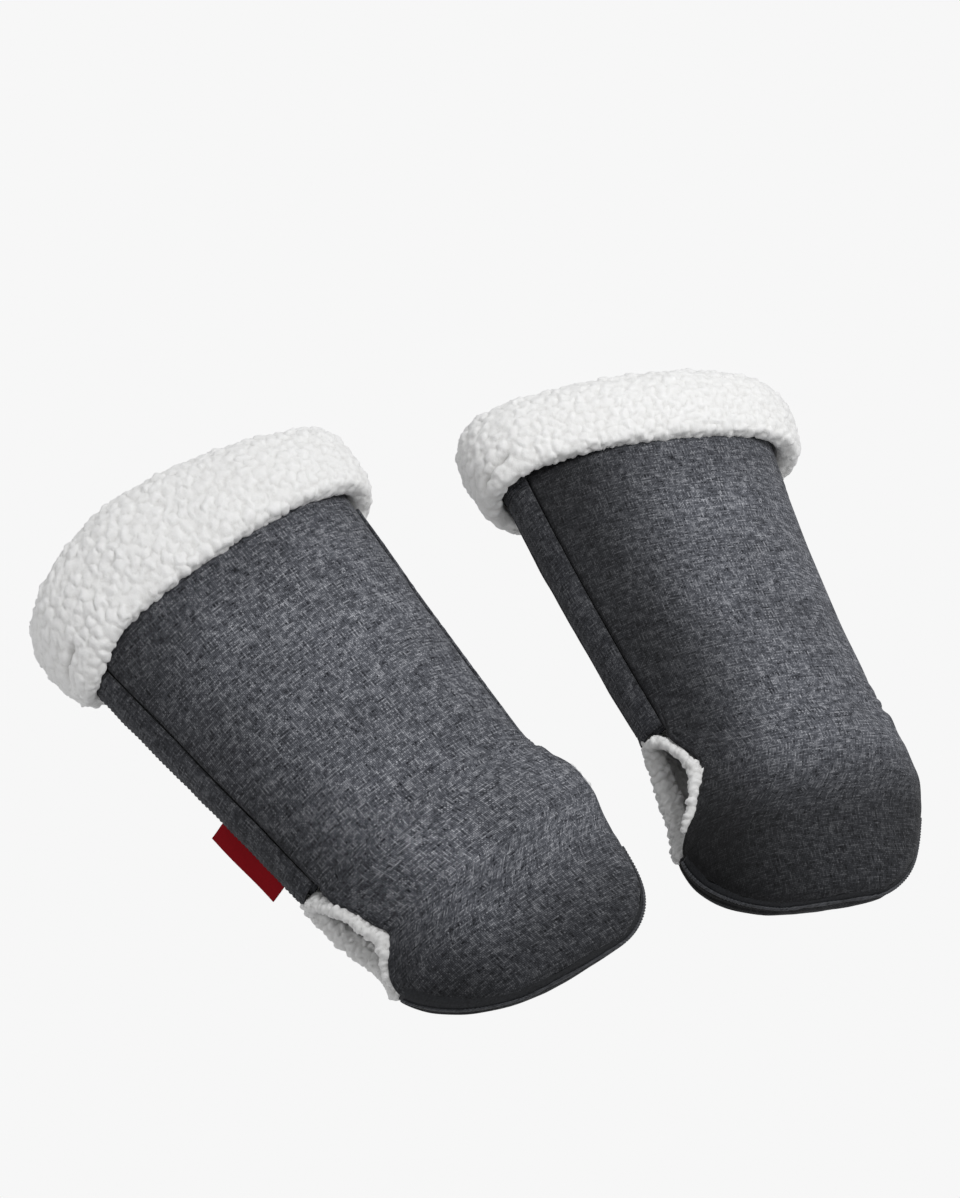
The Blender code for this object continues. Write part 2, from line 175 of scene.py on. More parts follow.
def panelPoints(edges, z, share, inset):
    # rows from the cuff to the toe, and columns at these shares of the way from one edge to the other
    start, end = edges(z)
    beta = start[:, None] + (end - start)[:, None] * share[None, :]
    return skin(beta, z[:, None], inset)


def outwardNormals(points):
    across = np.gradient(points, axis=1)
    down = np.gradient(points, axis=0)
    normals = np.cross(across, down)
    length = np.linalg.norm(normals, axis=-1, keepdims=True)
    normals = normals / np.maximum(length, 1e-12)
    middle = points[:, :, :2].sum(axis=(0, 1)) / (points.shape[0] * points.shape[1])
    if (normals[:, :, :2] * middle).sum() < 0:
        normals = -normals
    return normals


def flatCoords(points):
    # the cloth's own coordinates in metres, so that its threads run straight
    across = alongPath(points.transpose(1, 0, 2)).T
    middle = points.shape[1] // 2
    across = across - across[:, middle:middle + 1]
    down = alongPath(points[:, middle])
    return np.stack([across, np.broadcast_to(-down[:, None], across.shape)], axis=-1)


def fromEdges(points):
    # how far each point of a panel lies over the cloth from its first column, last column and last row
    flat = flatCoords(points)
    across, down = flat[:, :, 0], flat[:, :, 1]
    return across - across[:, :1], across[:, -1:] - across, down - down[-1:]


def addPiece(name, bm):
    mesh = bpy.data.meshes.new(name)
    bm.to_mesh(mesh)
    bm.free()
    mesh.shade_smooth()
    piece = bpy.data.objects.new(name, mesh)
    scene.collection.objects.link(piece)
    return piece


def gridPiece(name, points, outward=None, wrap=False, cap=False, raised=None, tone=1.0):
    # a grid laid over rows x columns of points; outward says which way its faces look,
    # raised how much of the pile each point carries, and tone how dark the cloth is there as painted shade
    rows, columns = points.shape[:2]
    bm = bmesh.new()
    bmesh.ops.create_grid(bm, x_segments=columns - 1, y_segments=rows - 1, size=1)
    cloth = bm.loops.layers.uv.new("cloth")
    flat = flatCoords(points).reshape(-1, 2)
    for vert, place in zip(bm.verts, points.reshape(-1, 3)):
        vert.co = place
    for channel, values in (("raised", raised), ("tone", tone)):
        if values is not None:
            layer = bm.verts.layers.float.new(channel)
            for vert, value in zip(bm.verts, np.broadcast_to(values, (rows, columns)).reshape(-1)):
                vert[layer] = value
    for face in bm.faces:
        for loop in face.loops:
            loop[cloth].uv = flat[loop.vert.index]
    if wrap:
        seam = [v for v in bm.verts if v.is_boundary]
        bmesh.ops.remove_doubles(bm, verts=seam, dist=1e-6)
    if cap:
        bmesh.ops.holes_fill(bm, edges=[e for e in bm.edges if e.is_boundary])
    if outward is None:
        bmesh.ops.recalc_face_normals(bm, faces=bm.faces)
    else:
        bm.normal_update()
        side = sum(f.normal.dot(outward(f.calc_center_median())) for f in list(bm.faces)[::7])
        if side < 0:
            bmesh.ops.reverse_faces(bm, faces=bm.faces)
    return addPiece(name, bm)


def fromAxis(place):
    return Vector((place.x, place.y, min(place.z, 0.0)))


def towardsAxis(place):
    return -fromAxis(place)


def readMesh(mesh):
    co = np.zeros(len(mesh.vertices) * 3)
    normal = np.zeros(len(mesh.vertices) * 3)
    mesh.vertices.foreach_get("co", co)
    mesh.vertex_normals.foreach_get("vector", normal)
    return co.reshape(-1, 3), normal.reshape(-1, 3)


def writeMesh(mesh, co):
    mesh.vertices.foreach_set("co", co.astype(np.float32).ravel())
    mesh.update()


def scattered(co, spacing, seed):
    # points of the mesh picked so that no two lie nearer than the spacing
    order = np.random.default_rng(seed).permutation(len(co))
    taken = {}
    picks = []
    around = [(i, j, k) for i in (-1, 0, 1) for j in (-1, 0, 1) for k in (-1, 0, 1)]
    for index in order:
        x, y, z = co[index]
        cell = tuple(int(c) for c in np.floor(co[index] / spacing))
        near = [q for i, j, k in around for q in taken.get((cell[0] + i, cell[1] + j, cell[2] + k), ())]
        if all((x - q[0]) ** 2 + (y - q[1]) ** 2 + (z - q[2]) ** 2 > spacing ** 2 for q in near):
            taken.setdefault(cell, []).append((x, y, z))
            picks.append((x, y, z))
    return np.array(picks)


def nubs(co, spacing, leastShare, pile, seed):
    # soft nubs this far apart: how high each point lies on its own nub, and its way from the nub's middle
    middles = scattered(co, spacing, seed)
    size = np.random.default_rng(seed + 1).uniform(leastShare, 1.0, len(middles))
    tree = kdtree.KDTree(len(middles))
    for index, place in enumerate(middles):
        tree.insert(place, index)
    tree.balance()
    height = np.zeros(len(co))
    lean = np.zeros((len(co), 3))
    for index, place in enumerate(co):
        warp = noise.noise_vector(Vector(place) * pile["warpScale"]) * spacing * pile["warpShare"]
        near = tree.find_n(Vector(place) + warp, 3)
        reach = [(spacing / max(found[2], 1e-6)) ** pile["melt"] for found in near]
        share = (reach[0] - reach[1]) / (reach[0] + reach[1] + reach[2])
        level = sum(size[found[1]] * r for found, r in zip(near, reach)) / sum(reach)
        height[index] = level * share ** pile["roundShare"]
        lean[index] = place - np.array(near[0][0])
    return height, lean


pileShade = {"large": 0.50, "small": 0.25, "loose": 0.55}


def curl(piece, pile):
    # raises the surface into the nubs of curly fleece: large ones, small ones on them, loose curls between
    mesh = piece.data
    co, normal = readMesh(mesh)
    height, lean = nubs(co, pile["spacing"], pile["leastShare"], pile, pile["seed"])
    small, _ = nubs(co, pile["smallSpacing"], pile["leastShare"], pile, pile["seed"] + 7)
    loose = np.array([abs(noise.noise(Vector(place) * pile["looseScale"])) for place in co])
    fine = np.array([noise.noise(Vector(place) * pile["fineScale"]) for place in co])
    if "raised" in mesh.attributes:
        share = np.zeros(len(co), np.float32)
        mesh.attributes["raised"].data.foreach_get("value", share)
        height, small, loose, fine = height * share, small * share, loose * share, fine * share
    rise = pile["height"] * height + pile["smallHeight"] * small
    rise = rise + pile["loose"] * loose + pile["fine"] * fine
    co = co + normal * rise[:, None] + lean * (pile["lean"] * height)[:, None]
    writeMesh(mesh, co)
    # the pile attribute carries painted shade: low between the nubs, high on their tops
    shade = pileShade["large"] * height + pileShade["small"] * small + pileShade["loose"] * loose
    mesh.attributes.new("pile", "FLOAT", "POINT").data.foreach_set("value", shade.astype(np.float32))
    return piece


def thicken(piece, thickness):
    wall = piece.modifiers.new("wall", "SOLIDIFY")
    wall.thickness = thickness
    wall.offset = -1.0
    wall.use_even_offset = False
    return piece


# how each filled muff has settled from the plain form, in mm: its two edges move along X and its toe tilts
settling = {
    "z": (-0.100, -0.080, -0.062, -0.048, -0.030, -0.012, 0.008, 0.022, 0.048, 0.100, 0.170, 0.215, 0.260,
          0.310),
    "riseX": (-0.090, -0.045, 0.0, 0.040, 0.070, 0.090),
    -1: {"leftEdge": (3, 1, -1, -3, -3, -3, -5, -8, -9, -7, -5, -4, -2, 1),
         "rightEdge": (5, -2, -8, -11, -11, -4, 0, -2, -9, -7, -4, -1, 1, 3),
         "rise": (14, 8, 0, -5, -7, -6)},
    1: {"leftEdge": (-4, -8, -10, -8, -3, 0, 3, 4, 3, 1, 0, 0, 1, 1),
        "rightEdge": (-9, -11, -13, -12, -7, -3, -2, 0, -2, -5, -6, -5, -2, 1),
        "rise": (2, 2, 0, -2, -1, 1)},
    "soft": 0.007, "reading": (-0.16, 0.37, 531), "step": 0.001, "softSteps": 30,
    "toeReach": 0.086, "risePower": 1.3,
}


def softCurve(at, stations, values):
    # a table in millimetres read as one smooth curve in metres
    steps = np.arange(-settling["softSteps"], settling["softSteps"] + 1)
    kernel = np.exp(-(steps * settling["step"] / settling["soft"]) ** 2)
    return readSoftly(at, settling["reading"], stations, values, kernel) / 1000


def settled(co, sign):
    how = settling[sign]
    z = co[:, 2]
    share = np.clip((co[:, 0] / halfSize(z, "Width") + 1) / 2, 0, 1)
    left = softCurve(z, settling["z"], how["leftEdge"])
    right = softCurve(z, settling["z"], how["rightEdge"])
    onToe = np.clip(-z / settling["toeReach"], 0, 1) ** settling["risePower"]
    moved = co.copy()
    moved[:, 0] += left * (1 - share) + right * share
    moved[:, 2] += softCurve(co[:, 0], settling["riseX"], how["rise"]) * onToe
    return moved


def finish(piece, material, sign):
    # lets the piece settle and puts it on its muff, with its place in its mesh
    piece.data.materials.append(material)
    co, _ = readMesh(piece.data)
    writeMesh(piece.data, settled(co, sign))
    piece.data.transform(muffMatrix(sign))
    piece.data.update()
    return piece


def blurred(field, passes):
    for _ in range(passes):
        wide = np.pad(field, ((1, 1), (1, 1), (0, 0)), mode="edge")
        field = (wide[:-2, 1:-1] + wide[2:, 1:-1] + wide[1:-1, :-2] + wide[1:-1, 2:] + 2 * field) / 6
    return field


def readRows(field, at):
    # the field read at these places between its rows
    read = readAlong(at, np.arange(len(field)), field.reshape(len(field), -1))
    return read.reshape(len(at), *field.shape[1:])


# how the cloth of a panel is blown out over its wadding
puff = {
    "spacing": 0.0055, "columns": 44, "frames": 18, "holdShare": 0.06, "most": 0.0042, "least": -0.0008,
    "slide": 0.0015, "waver": 0.0012, "waverScale": 26.0,
    "cloth": {"quality": 5, "mass": 0.2, "tension_stiffness": 12.0, "compression_stiffness": 12.0,
              "bending_stiffness": 0.35, "shrink_min": -0.022, "use_pressure": True,
              "uniform_pressure_force": 3.2, "vertex_group_mass": "hold"},
}


def puffed(edges, seed):
    # how far each point of a panel's cloth moves from the plain skin, from a cloth simulation
    points = panelPoints(edges, heights(puff["spacing"]), np.linspace(0, 1, puff["columns"]), 0.0)
    normals = outwardNormals(points)
    shift = Vector((seed, seed, seed))
    waver = np.array([noise.noise(Vector(p) * puff["waverScale"] + shift) for p in points.reshape(-1, 3)])
    moved = normals * (waver.reshape(points.shape[:2]) * puff["waver"])[:, :, None]
    piece = gridPiece("clothInTheMaking", points + moved, outward=fromAxis)
    hold = piece.vertex_groups.new(name="hold")
    rim = np.ones(points.shape[:2], bool)
    rim[1:-1, 1:-1] = False
    hold.add(np.flatnonzero(rim).tolist(), 1.0, "REPLACE")
    hold.add(np.flatnonzero(~rim).tolist(), puff["holdShare"], "REPLACE")
    cloth = piece.modifiers.new("cloth", "CLOTH")
    for key, value in puff["cloth"].items():
        setattr(cloth.settings, key, value)
    cloth.settings.effector_weights.gravity = 0
    cloth.collision_settings.use_collision = False
    cloth.point_cache.frame_start = 1
    cloth.point_cache.frame_end = puff["frames"]
    for step in range(1, puff["frames"] + 1):
        scene.frame_set(step)
    co, _ = readMesh(piece.evaluated_get(bpy.context.evaluated_depsgraph_get()).data)
    travel = co.reshape(points.shape) - points
    scene.frame_set(1)
    bpy.data.objects.remove(piece)
    out = (travel * normals).sum(axis=-1, keepdims=True)
    along = travel - normals * out
    reach = np.linalg.norm(along, axis=-1, keepdims=True)
    along = along * np.minimum(1.0, puff["slide"] / np.maximum(reach, 1e-9))
    out = puff["most"] * np.tanh(np.maximum(out, puff["least"]) / puff["most"])
    print("cloth settled, it stands proud by", round(float(out.max()) * 1000, 1), "mm at most")
    return blurred(normals * out + along, 1)


def addNode(tree, kind, settings=None, **inputs):
    node = tree.nodes.new(kind)
    for key, value in (settings or {}).items():
        setattr(node, key, value)
    for key, value in inputs.items():
        socket = node.inputs[int(key[1:])] if key[0] == "n" and key[1:].isdigit() else node.inputs[key]
        if isinstance(value, bpy.types.NodeSocket):
            tree.links.new(value, socket)
        else:
            socket.default_value = value
    return node


def addMath(tree, operation, first, second=0.0):
    return addNode(tree, "ShaderNodeMath", {"operation": operation}, n0=first, n1=second).outputs[0]


def addRamp(tree, factor, stops):
    node = addNode(tree, "ShaderNodeValToRGB", n0=factor)
    ramp = node.color_ramp
    while len(ramp.elements) < len(stops):
        ramp.elements.new(0.5)
    for element, (place, color) in zip(ramp.elements, stops):
        element.position = place
        element.color = (*color, 1.0)
    return node.outputs["Color"]


def addRange(tree, value, low, high, newLow, newHigh):
    return addNode(tree, "ShaderNodeMapRange", n0=value, n1=low, n2=high, n3=newLow, n4=newHigh).outputs[0]


def addMix(tree, factor, first, second, blend="MIX"):
    node = tree.nodes.new("ShaderNodeMix")
    node.data_type = "RGBA"
    node.blend_type = blend
    for socket, value in ((node.inputs[0], factor), (node.inputs[6], first), (node.inputs[7], second)):
        if isinstance(value, bpy.types.NodeSocket):
            tree.links.new(value, socket)
        else:
            socket.default_value = value
    return node.outputs[2]


def addNoise(tree, scale, detail, place=None, **more):
    # noise at this place, or at the object's own coordinates
    if place is None:
        place = addNode(tree, "ShaderNodeTexCoord").outputs["Object"]
    noisy = addNode(tree, "ShaderNodeTexNoise", Vector=place, Scale=scale, Detail=detail, **more)
    return noisy.outputs["Fac"]


def addChannel(tree, name):
    return addNode(tree, "ShaderNodeAttribute", {"attribute_name": name}).outputs["Fac"]


def clothPlace(tree):
    place = addNode(tree, "ShaderNodeUVMap", {"uv_map": "cloth"}).outputs["UV"]
    parts = addNode(tree, "ShaderNodeSeparateXYZ", Vector=place)
    return parts.outputs["X"], parts.outputs["Y"]


def newMaterial(name, spec):
    material = bpy.data.materials.new(name)
    material.use_nodes = True
    shader = material.node_tree.nodes["Principled BSDF"]
    shader.inputs["Roughness"].default_value = spec["roughness"]
    shader.inputs["Sheen Weight"].default_value = spec.get("sheen", 0.0)
    shader.inputs["Specular IOR Level"].default_value = spec.get("gloss", 0.25)
    return material, material.node_tree, shader


def colorAndBump(tree, shader, color, height, spec):
    tree.links.new(color, shader.inputs["Base Color"])
    bump = addNode(tree, "ShaderNodeBump", Height=height, Distance=spec["bump"], Strength=spec["bumpShare"])
    tree.links.new(bump.outputs["Normal"], shader.inputs["Normal"])


weave = {
    "pitch": 0.00108, "slubAlong": 0.090, "slubAcross": 1.37, "slubScale": 1.9, "slubDetail": 2.0,
    "slubRough": 0.55, "weftPlace": 7.0, "through": 0.40, "gap": 0.20,
    "dark": (0.0085, 0.0098, 0.0150), "middle": (0.136, 0.143, 0.165), "light": (0.500, 0.510, 0.545),
    "stops": (0.31, 0.50, 0.72), "cloudScale": 16.0, "cloudDetail": 3.0, "cloudFrom": 0.35, "cloudTo": 0.65,
    "cloudLow": 0.86, "cloudHigh": 1.10, "bump": 0.00022, "bumpShare": 0.6, "roughness": 0.88, "sheen": 0.06,
}


def weaveMaterial(name, spec, tint=1.0):
    # a plain weave of heathered yarns: each yarn is lighter and darker along its length
    material, tree, shader = newMaterial(name, spec)
    across, along = (addMath(tree, "DIVIDE", place, spec["pitch"]) for place in clothPlace(tree))
    warpYarn = addMath(tree, "FLOOR", across)
    weftYarn = addMath(tree, "FLOOR", along)
    over = addMath(tree, "FLOORED_MODULO", addMath(tree, "ADD", warpYarn, weftYarn), 2.0)

    def yarnTone(yarn, run, offset):
        where = addNode(tree, "ShaderNodeCombineXYZ", X=addMath(tree, "MULTIPLY", yarn, spec["slubAcross"]),
                        Y=addMath(tree, "MULTIPLY", run, spec["slubAlong"]), Z=offset)
        return addNoise(tree, spec["slubScale"], spec["slubDetail"], where.outputs[0],
                        Roughness=spec["slubRough"])

    def yarnRound(run):
        return addMath(tree, "ABSOLUTE", addMath(tree, "SINE", addMath(tree, "MULTIPLY", run, pi)))

    weft, warp = yarnTone(weftYarn, across, spec["weftPlace"]), yarnTone(warpYarn, along, 0.0)
    tone = addMix(tree, spec["through"], addMix(tree, over, weft, warp), addMix(tree, 0.5, weft, warp))
    rounded = addMix(tree, over, yarnRound(along), yarnRound(across))
    yarn = addRamp(tree, tone, list(zip(spec["stops"], (spec["dark"], spec["middle"], spec["light"]))))
    shade = addRange(tree, rounded, 0.0, 1.0, spec["gap"], 1.0)
    cloud = addNoise(tree, spec["cloudScale"], spec["cloudDetail"])
    drift = addRange(tree, cloud, spec["cloudFrom"], spec["cloudTo"], spec["cloudLow"] * tint,
                     spec["cloudHigh"] * tint)
    # the tone attribute darkens the cloth here as painted shade
    drifted = addMath(tree, "MULTIPLY", drift, addChannel(tree, "tone"))
    color = addMix(tree, 1.0, addMix(tree, 1.0, yarn, shade, "MULTIPLY"), drifted, "MULTIPLY")
    colorAndBump(tree, shader, color, rounded, spec)
    return material


# the fleece's colour follows its pile: painted shade in the creases between nubs, painted light on their
# tips
fleece = {
    "crease": (0.72, 0.715, 0.70), "body": (0.83, 0.83, 0.82), "tip": (0.87, 0.87, 0.865),
    "stops": (0.16, 0.48, 0.90), "pileShare": 0.80, "fuzzShare": 0.45,
    "curlScale": 420.0, "curlDetail": 2.0, "curlTwist": 1.6, "curlShare": 0.65,
    "fibreScale": 1100.0, "fibreDetail": 3.0, "fibreShare": 0.35, "bump": 0.0007, "bumpShare": 0.7,
    "roughness": 0.95, "sheen": 0.35, "scatter": 0.55, "scatterReach": 0.005,
}


def fleeceMaterial(name, spec, tint=1.0):
    # fine curls and loose fibres over the nubs that the mesh has, darker in their creases and lighter on
    # their tips as painted shade and light
    material, tree, shader = newMaterial(name, spec)
    shader.inputs["Subsurface Weight"].default_value = spec["scatter"]
    shader.inputs["Subsurface Radius"].default_value = (1.0, 1.0, 1.0)
    shader.inputs["Subsurface Scale"].default_value = spec["scatterReach"]
    curls = addNoise(tree, spec["curlScale"], spec["curlDetail"], Distortion=spec["curlTwist"])
    fibre = addNoise(tree, spec["fibreScale"], spec["fibreDetail"])

    def blended(first, firstShare, second, secondShare):
        return addMath(tree, "ADD", addMath(tree, "MULTIPLY", first, firstShare),
                       addMath(tree, "MULTIPLY", second, secondShare))

    fuzz = blended(curls, spec["curlShare"], fibre, spec["fibreShare"])
    mixed = blended(addChannel(tree, "pile"), spec["pileShare"], fuzz, spec["fuzzShare"])
    colors = [tuple(c * tint for c in spec[part]) for part in ("crease", "body", "tip")]
    colorAndBump(tree, shader, addRamp(tree, mixed, list(zip(spec["stops"], colors))), fuzz, spec)
    return material


# the plain cloths: stretch draws a cloth's grain out along one way
plainCloths = {
    "wadding": {"low": (0.66, 0.66, 0.64), "high": (0.86, 0.86, 0.84), "scale": 420.0,
                "bump": 0.0012, "roughness": 0.97, "sheen": 0.2},
    "hookTape": {"low": (0.010, 0.011, 0.012), "high": (0.055, 0.058, 0.062), "scale": 900.0,
                 "bump": 0.0006, "roughness": 0.45},
    "loopTape": {"low": (0.018, 0.019, 0.022), "high": (0.075, 0.078, 0.086), "scale": 1300.0,
                 "bump": 0.0007, "roughness": 0.92, "sheen": 0.5},
    "binding": {"low": (0.010, 0.011, 0.013), "high": (0.075, 0.078, 0.088), "scale": 260.0,
                "stretch": (1, 1, 6), "bump": 0.0003, "roughness": 0.42, "sheen": 0.1},
    "webbing": {"low": (0.005, 0.0055, 0.007), "high": (0.022, 0.024, 0.028), "scale": 520.0,
                "stretch": (1, 1, 3), "bump": 0.0004, "roughness": 0.55, "sheen": 0.05},
    "thread": {"low": (0.010, 0.011, 0.014), "high": (0.045, 0.048, 0.058), "scale": 1600.0,
               "bump": 0.0002, "roughness": 0.55},
    "all": {"stretch": (1, 1, 1), "detail": 4.0, "rough": 0.6, "stops": (0.30, 0.70), "bumpShare": 0.8},
}


def plainMaterial(name, kind):
    spec = {**plainCloths["all"], **plainCloths[kind]}
    material, tree, shader = newMaterial(name, spec)
    spot = addNode(tree, "ShaderNodeTexCoord").outputs["Object"]
    place = addNode(tree, "ShaderNodeMapping", Vector=spot, Scale=spec["stretch"]).outputs[0]
    grain = addNoise(tree, spec["scale"], spec["detail"], place, Roughness=spec["rough"])
    color = addRamp(tree, grain, list(zip(spec["stops"], (spec["low"], spec["high"]))))
    colorAndBump(tree, shader, color, grain, spec)
    return material


ribbon = {
    "pitch": 0.00045, "dark": (0.150, 0.0016, 0.0040), "light": (0.250, 0.0036, 0.0080),
    "stops": (0.15, 0.85), "grainScale": 700.0, "grainDetail": 3.0, "toneShare": 0.6,
    "bump": 0.00008, "bumpShare": 0.5, "roughness": 0.60, "gloss": 0.06,
}


def ribbonMaterial(name, spec):
    # a dense satin ribbon with fine ribs across it
    material, tree, shader = newMaterial(name, spec)
    _, along = clothPlace(tree)
    turn = addMath(tree, "MULTIPLY", along, pi / spec["pitch"])
    rib = addMath(tree, "ABSOLUTE", addMath(tree, "SINE", turn))
    grain = addNoise(tree, spec["grainScale"], spec["grainDetail"])
    tone = addMath(tree, "MULTIPLY", addMath(tree, "ADD", rib, grain), spec["toneShare"])
    color = addRamp(tree, tone, list(zip(spec["stops"], (spec["dark"], spec["light"]))))
    colorAndBump(tree, shader, color, rib, spec)
    return material


shellCloth = weaveMaterial("wovenShell", weave)
# the placket's weave is the shell's darkened, as painted shade
shadedFlapCloth = weaveMaterial("wovenPlacketShaded", weave, 0.38)
insideCloth = weaveMaterial("wovenFacing", weave, 0.6)
cuffFleece = fleeceMaterial("cuffFleece", fleece)
# the lining's and the lips' fleece are the cuff's darkened, as painted shade inside the muff and at its
# openings
shadedLiningFleece = fleeceMaterial("shadedLiningFleece", fleece, 0.93)
shadedLipFleece = fleeceMaterial("shadedLipFleece", fleece, 0.80)
wool = plainMaterial("waddingFibre", "wadding")
hooks = plainMaterial("hookTape", "hookTape")
loops = plainMaterial("loopTape", "loopTape")
webbing = plainMaterial("rimWebbing", "webbing")
satin = plainMaterial("satinBinding", "binding")
sewing = plainMaterial("sewingThread", "thread")
tabRibbon = ribbonMaterial("redRibbon", ribbon)
print("materials made")


# the dark bound band along the toe's rim: its width at some turns of the rim on each muff, and its waver
toeBand = {
    "turns": (-1.0, -0.6, -0.2, 0.3, 1.0),
    -1: (0.0130, 0.0120, 0.0090, 0.0060, 0.0045), 1: (0.0080, 0.0070, 0.0062, 0.0055, 0.0045),
    "waver": 0.0005, "waverCount": 21, "waverStart": 0.4, "fineWaver": 0.0004, "fineCount": 47,
    "under": 0.0008, "back": -0.0016, "off": 0.0009, "thickness": 0.0008, "columns": 14, "front": -0.010,
}
# the woven shells: edges rolled under, tucks where the side openings pull, puckers along the toe's rim
shellCut = {
    "spacing": 0.0022, "columns": 124, "edgeShare": 0.78, "roll": 0.0016, "rollWidth": 0.0035,
    "pucker": 0.0011, "puckerReach": 0.009, "puckerScale": 95.0, "toeFromZ": -0.030, "toeFade": 0.012,
    "tuck": 0.0016, "tuckReach": 0.026, "tuckCount": 9.0, "tuckStart": 0.006, "deepest": 0.0011,
    "bandReach": 0.010, "heldLeast": 0.15, "bandSwell": 0.0012, "swellRise": 0.002, "swellReach": 0.020,
    "cornerColumns": 14, "foldReach": 0.020,
}


# painted shade: where the cloth is darker, on each muff and on both: how much, from where and over what
# reach
paintedShade = {
    -1: {"left": 0.68, "leftStart": 0.14, "leftReach": 0.78, "toe": 0.66, "toeStartZ": -0.016},
    1: {"left": 0.82, "leftStart": -0.16, "leftReach": 0.95, "toe": 0.74, "toeStartZ": 0.014},
    "toeReach": 0.062, "right": 0.10, "rightStart": 0.75, "rightReach": 0.25,
    "cuff": 0.24, "cuffStartZ": 0.185, "cuffReach": 0.065, "back": 0.30, "seam": 0.45, "seamReach": 0.0022,
}


def paintedClothShade(points, sign, isBack):
    # painted shade: the cloth is darker down the placket's side, by its right edge, on the toe, under the
    # cuff, along its seam and on the back than on its crown
    x, z = points[:, :, 0], points[:, :, 2]
    across = x / halfSize(z, "Width")
    how, both = paintedShade[sign], paintedShade
    tone = 1 - how["left"] * easeShare((-across - how["leftStart"]) / how["leftReach"])
    tone = tone * (1 - both["right"] * easeShare((across - both["rightStart"]) / both["rightReach"]))
    tone = tone * (1 - how["toe"] * easeShare((how["toeStartZ"] - z) / both["toeReach"]))
    tone = tone * (1 - both["cuff"] * easeShare((z - both["cuffStartZ"]) / both["cuffReach"]))
    fromLeft, _, _ = fromEdges(points)
    tone = tone * (1 - both["seam"] * np.exp(-fromLeft / both["seamReach"]))
    return tone * (1 - both["back"] * isBack)


def bandWidth(turn, sign):
    # how wide the band is at this turn of the toe's rim, with the unevenness of a sewn edge
    b = toeBand
    waver = b["waver"] * np.sin(b["waverCount"] * turn + b["waverStart"])
    return np.interp(turn, b["turns"], b[sign]) + waver + b["fineWaver"] * np.sin(b["fineCount"] * turn)


def closerAtEdges(columns):
    share = np.linspace(0, 1, columns)
    return share - shellCut["edgeShare"] * np.sin(2 * pi * share) / (2 * pi)


def shellPoints(edges, field, corners, seed, bandSign):
    s = shellCut
    z = heights(s["spacing"])
    share = closerAtEdges(s["columns"])
    points = panelPoints(edges, z, share, 0.0)
    normals = outwardNormals(points)
    # at the ends of the toe's closing line the skin has no normal of its own, so the next one is taken
    last = s["cornerColumns"]
    normals[-1, :last] = normals[-1, last]
    normals[-1, -last:] = normals[-1, -last - 1]
    moved = readRows(field, np.linspace(0, len(field) - 1, len(z)))
    moved = readRows(moved.transpose(1, 0, 2), share * (field.shape[1] - 1)).transpose(1, 0, 2)
    moved = blurred(moved, 2)
    nearest = np.min(fromEdges(points), axis=0)
    roll = s["roll"] * np.clip(1 - nearest / s["rollWidth"], 0, 1) ** 2
    turn = np.arctan2(points[:, :, 0], -points[:, :, 2])
    onToe = easeShare((s["toeFromZ"] - points[:, :, 2]) / s["toeFade"])
    wave = np.array([[noise.noise(Vector((t * s["puckerScale"] * muffForm["toeDrop"], seed, 0.0)))
                      for t in row] for row in turn])
    pucker = s["pucker"] * wave * np.exp(-nearest / s["puckerReach"]) * onToe
    pastBand = nearest - (bandWidth(turn / (pi / 2), bandSign) - toeBand["under"])
    held = 1 - onToe * (1 - easeShare(pastBand / s["bandReach"]))
    swell = s["bandSwell"] * onToe * easeShare(pastBand / s["swellRise"])
    swell = swell * np.exp(-pastBand.clip(0) / s["swellReach"])
    pucker = pucker * (s["heldLeast"] + (1 - s["heldLeast"]) * held) + swell
    tuck = np.zeros_like(nearest)
    for cornerDeg, cornerZ, strength in corners:
        away = points - skin(cornerDeg, cornerZ, 0.0)
        far = np.linalg.norm(away, axis=-1)
        angle = np.arctan2(away[:, :, 2], np.hypot(away[:, :, 0], away[:, :, 1]))
        fold = np.sin(angle * s["tuckCount"] + seed) * np.exp(-far / s["tuckReach"])
        tuck += strength * fold * easeShare(far / s["tuckStart"])
    out = np.maximum(pucker + s["tuck"] * tuck, -s["deepest"]) - roll
    return points + moved * held[:, :, None] + normals * out[:, :, None]


def blendToToe(piece, side, sign):
    # the toe flap turns at the waist; the skin's point there is read but not used, and the piece's place is
    # baked into its mesh
    x, y, z = skin(0.0, muffForm["waistZ"], 0.0)
    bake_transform(piece)


def dress(piece, side, sign, material, moves, nodes):
    # the piece settles on its muff, then rides on a body there or has its place baked into its mesh, and the
    # solids it takes the place of are hidden
    finish(piece, material, sign)
    if callable(moves):
        moves(piece, side, sign)
    else:
        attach(piece, f"{side}_{moves}")
    if nodes:
        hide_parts(*(f"{side}_{node}" for node in nodes))
    return piece


# the two faces of a muff: where their cloth ends, how it moves and what it was cut to
panels = {
    "Front": {"edges": frontEdges, "moves": blendToToe, "solids": ("front", "toe_flap"), "puffSeed": 3.1,
              "tuckSeed": 1.7, "corners": ((90, 0.040, 1.0), (-60, 0.040, 0.6)), "flat": (0.219, 0.402),
              "area": 0.071},
    "Back": {"edges": backEdges, "moves": "muff", "solids": ("back",), "puffSeed": 8.4,
             "tuckSeed": 5.2, "corners": ((90, 0.040, 1.0), (260, 0.046, 0.6)), "flat": (0.231, 0.403),
             "area": 0.074},
}


def dressPanel(piece, side, sign, face, layer, material):
    panel = panels[face]
    nodes = [f"{solid}_{layer}" for solid in panel["solids"]]
    return dress(piece, side, sign, material, panel["moves"], nodes)


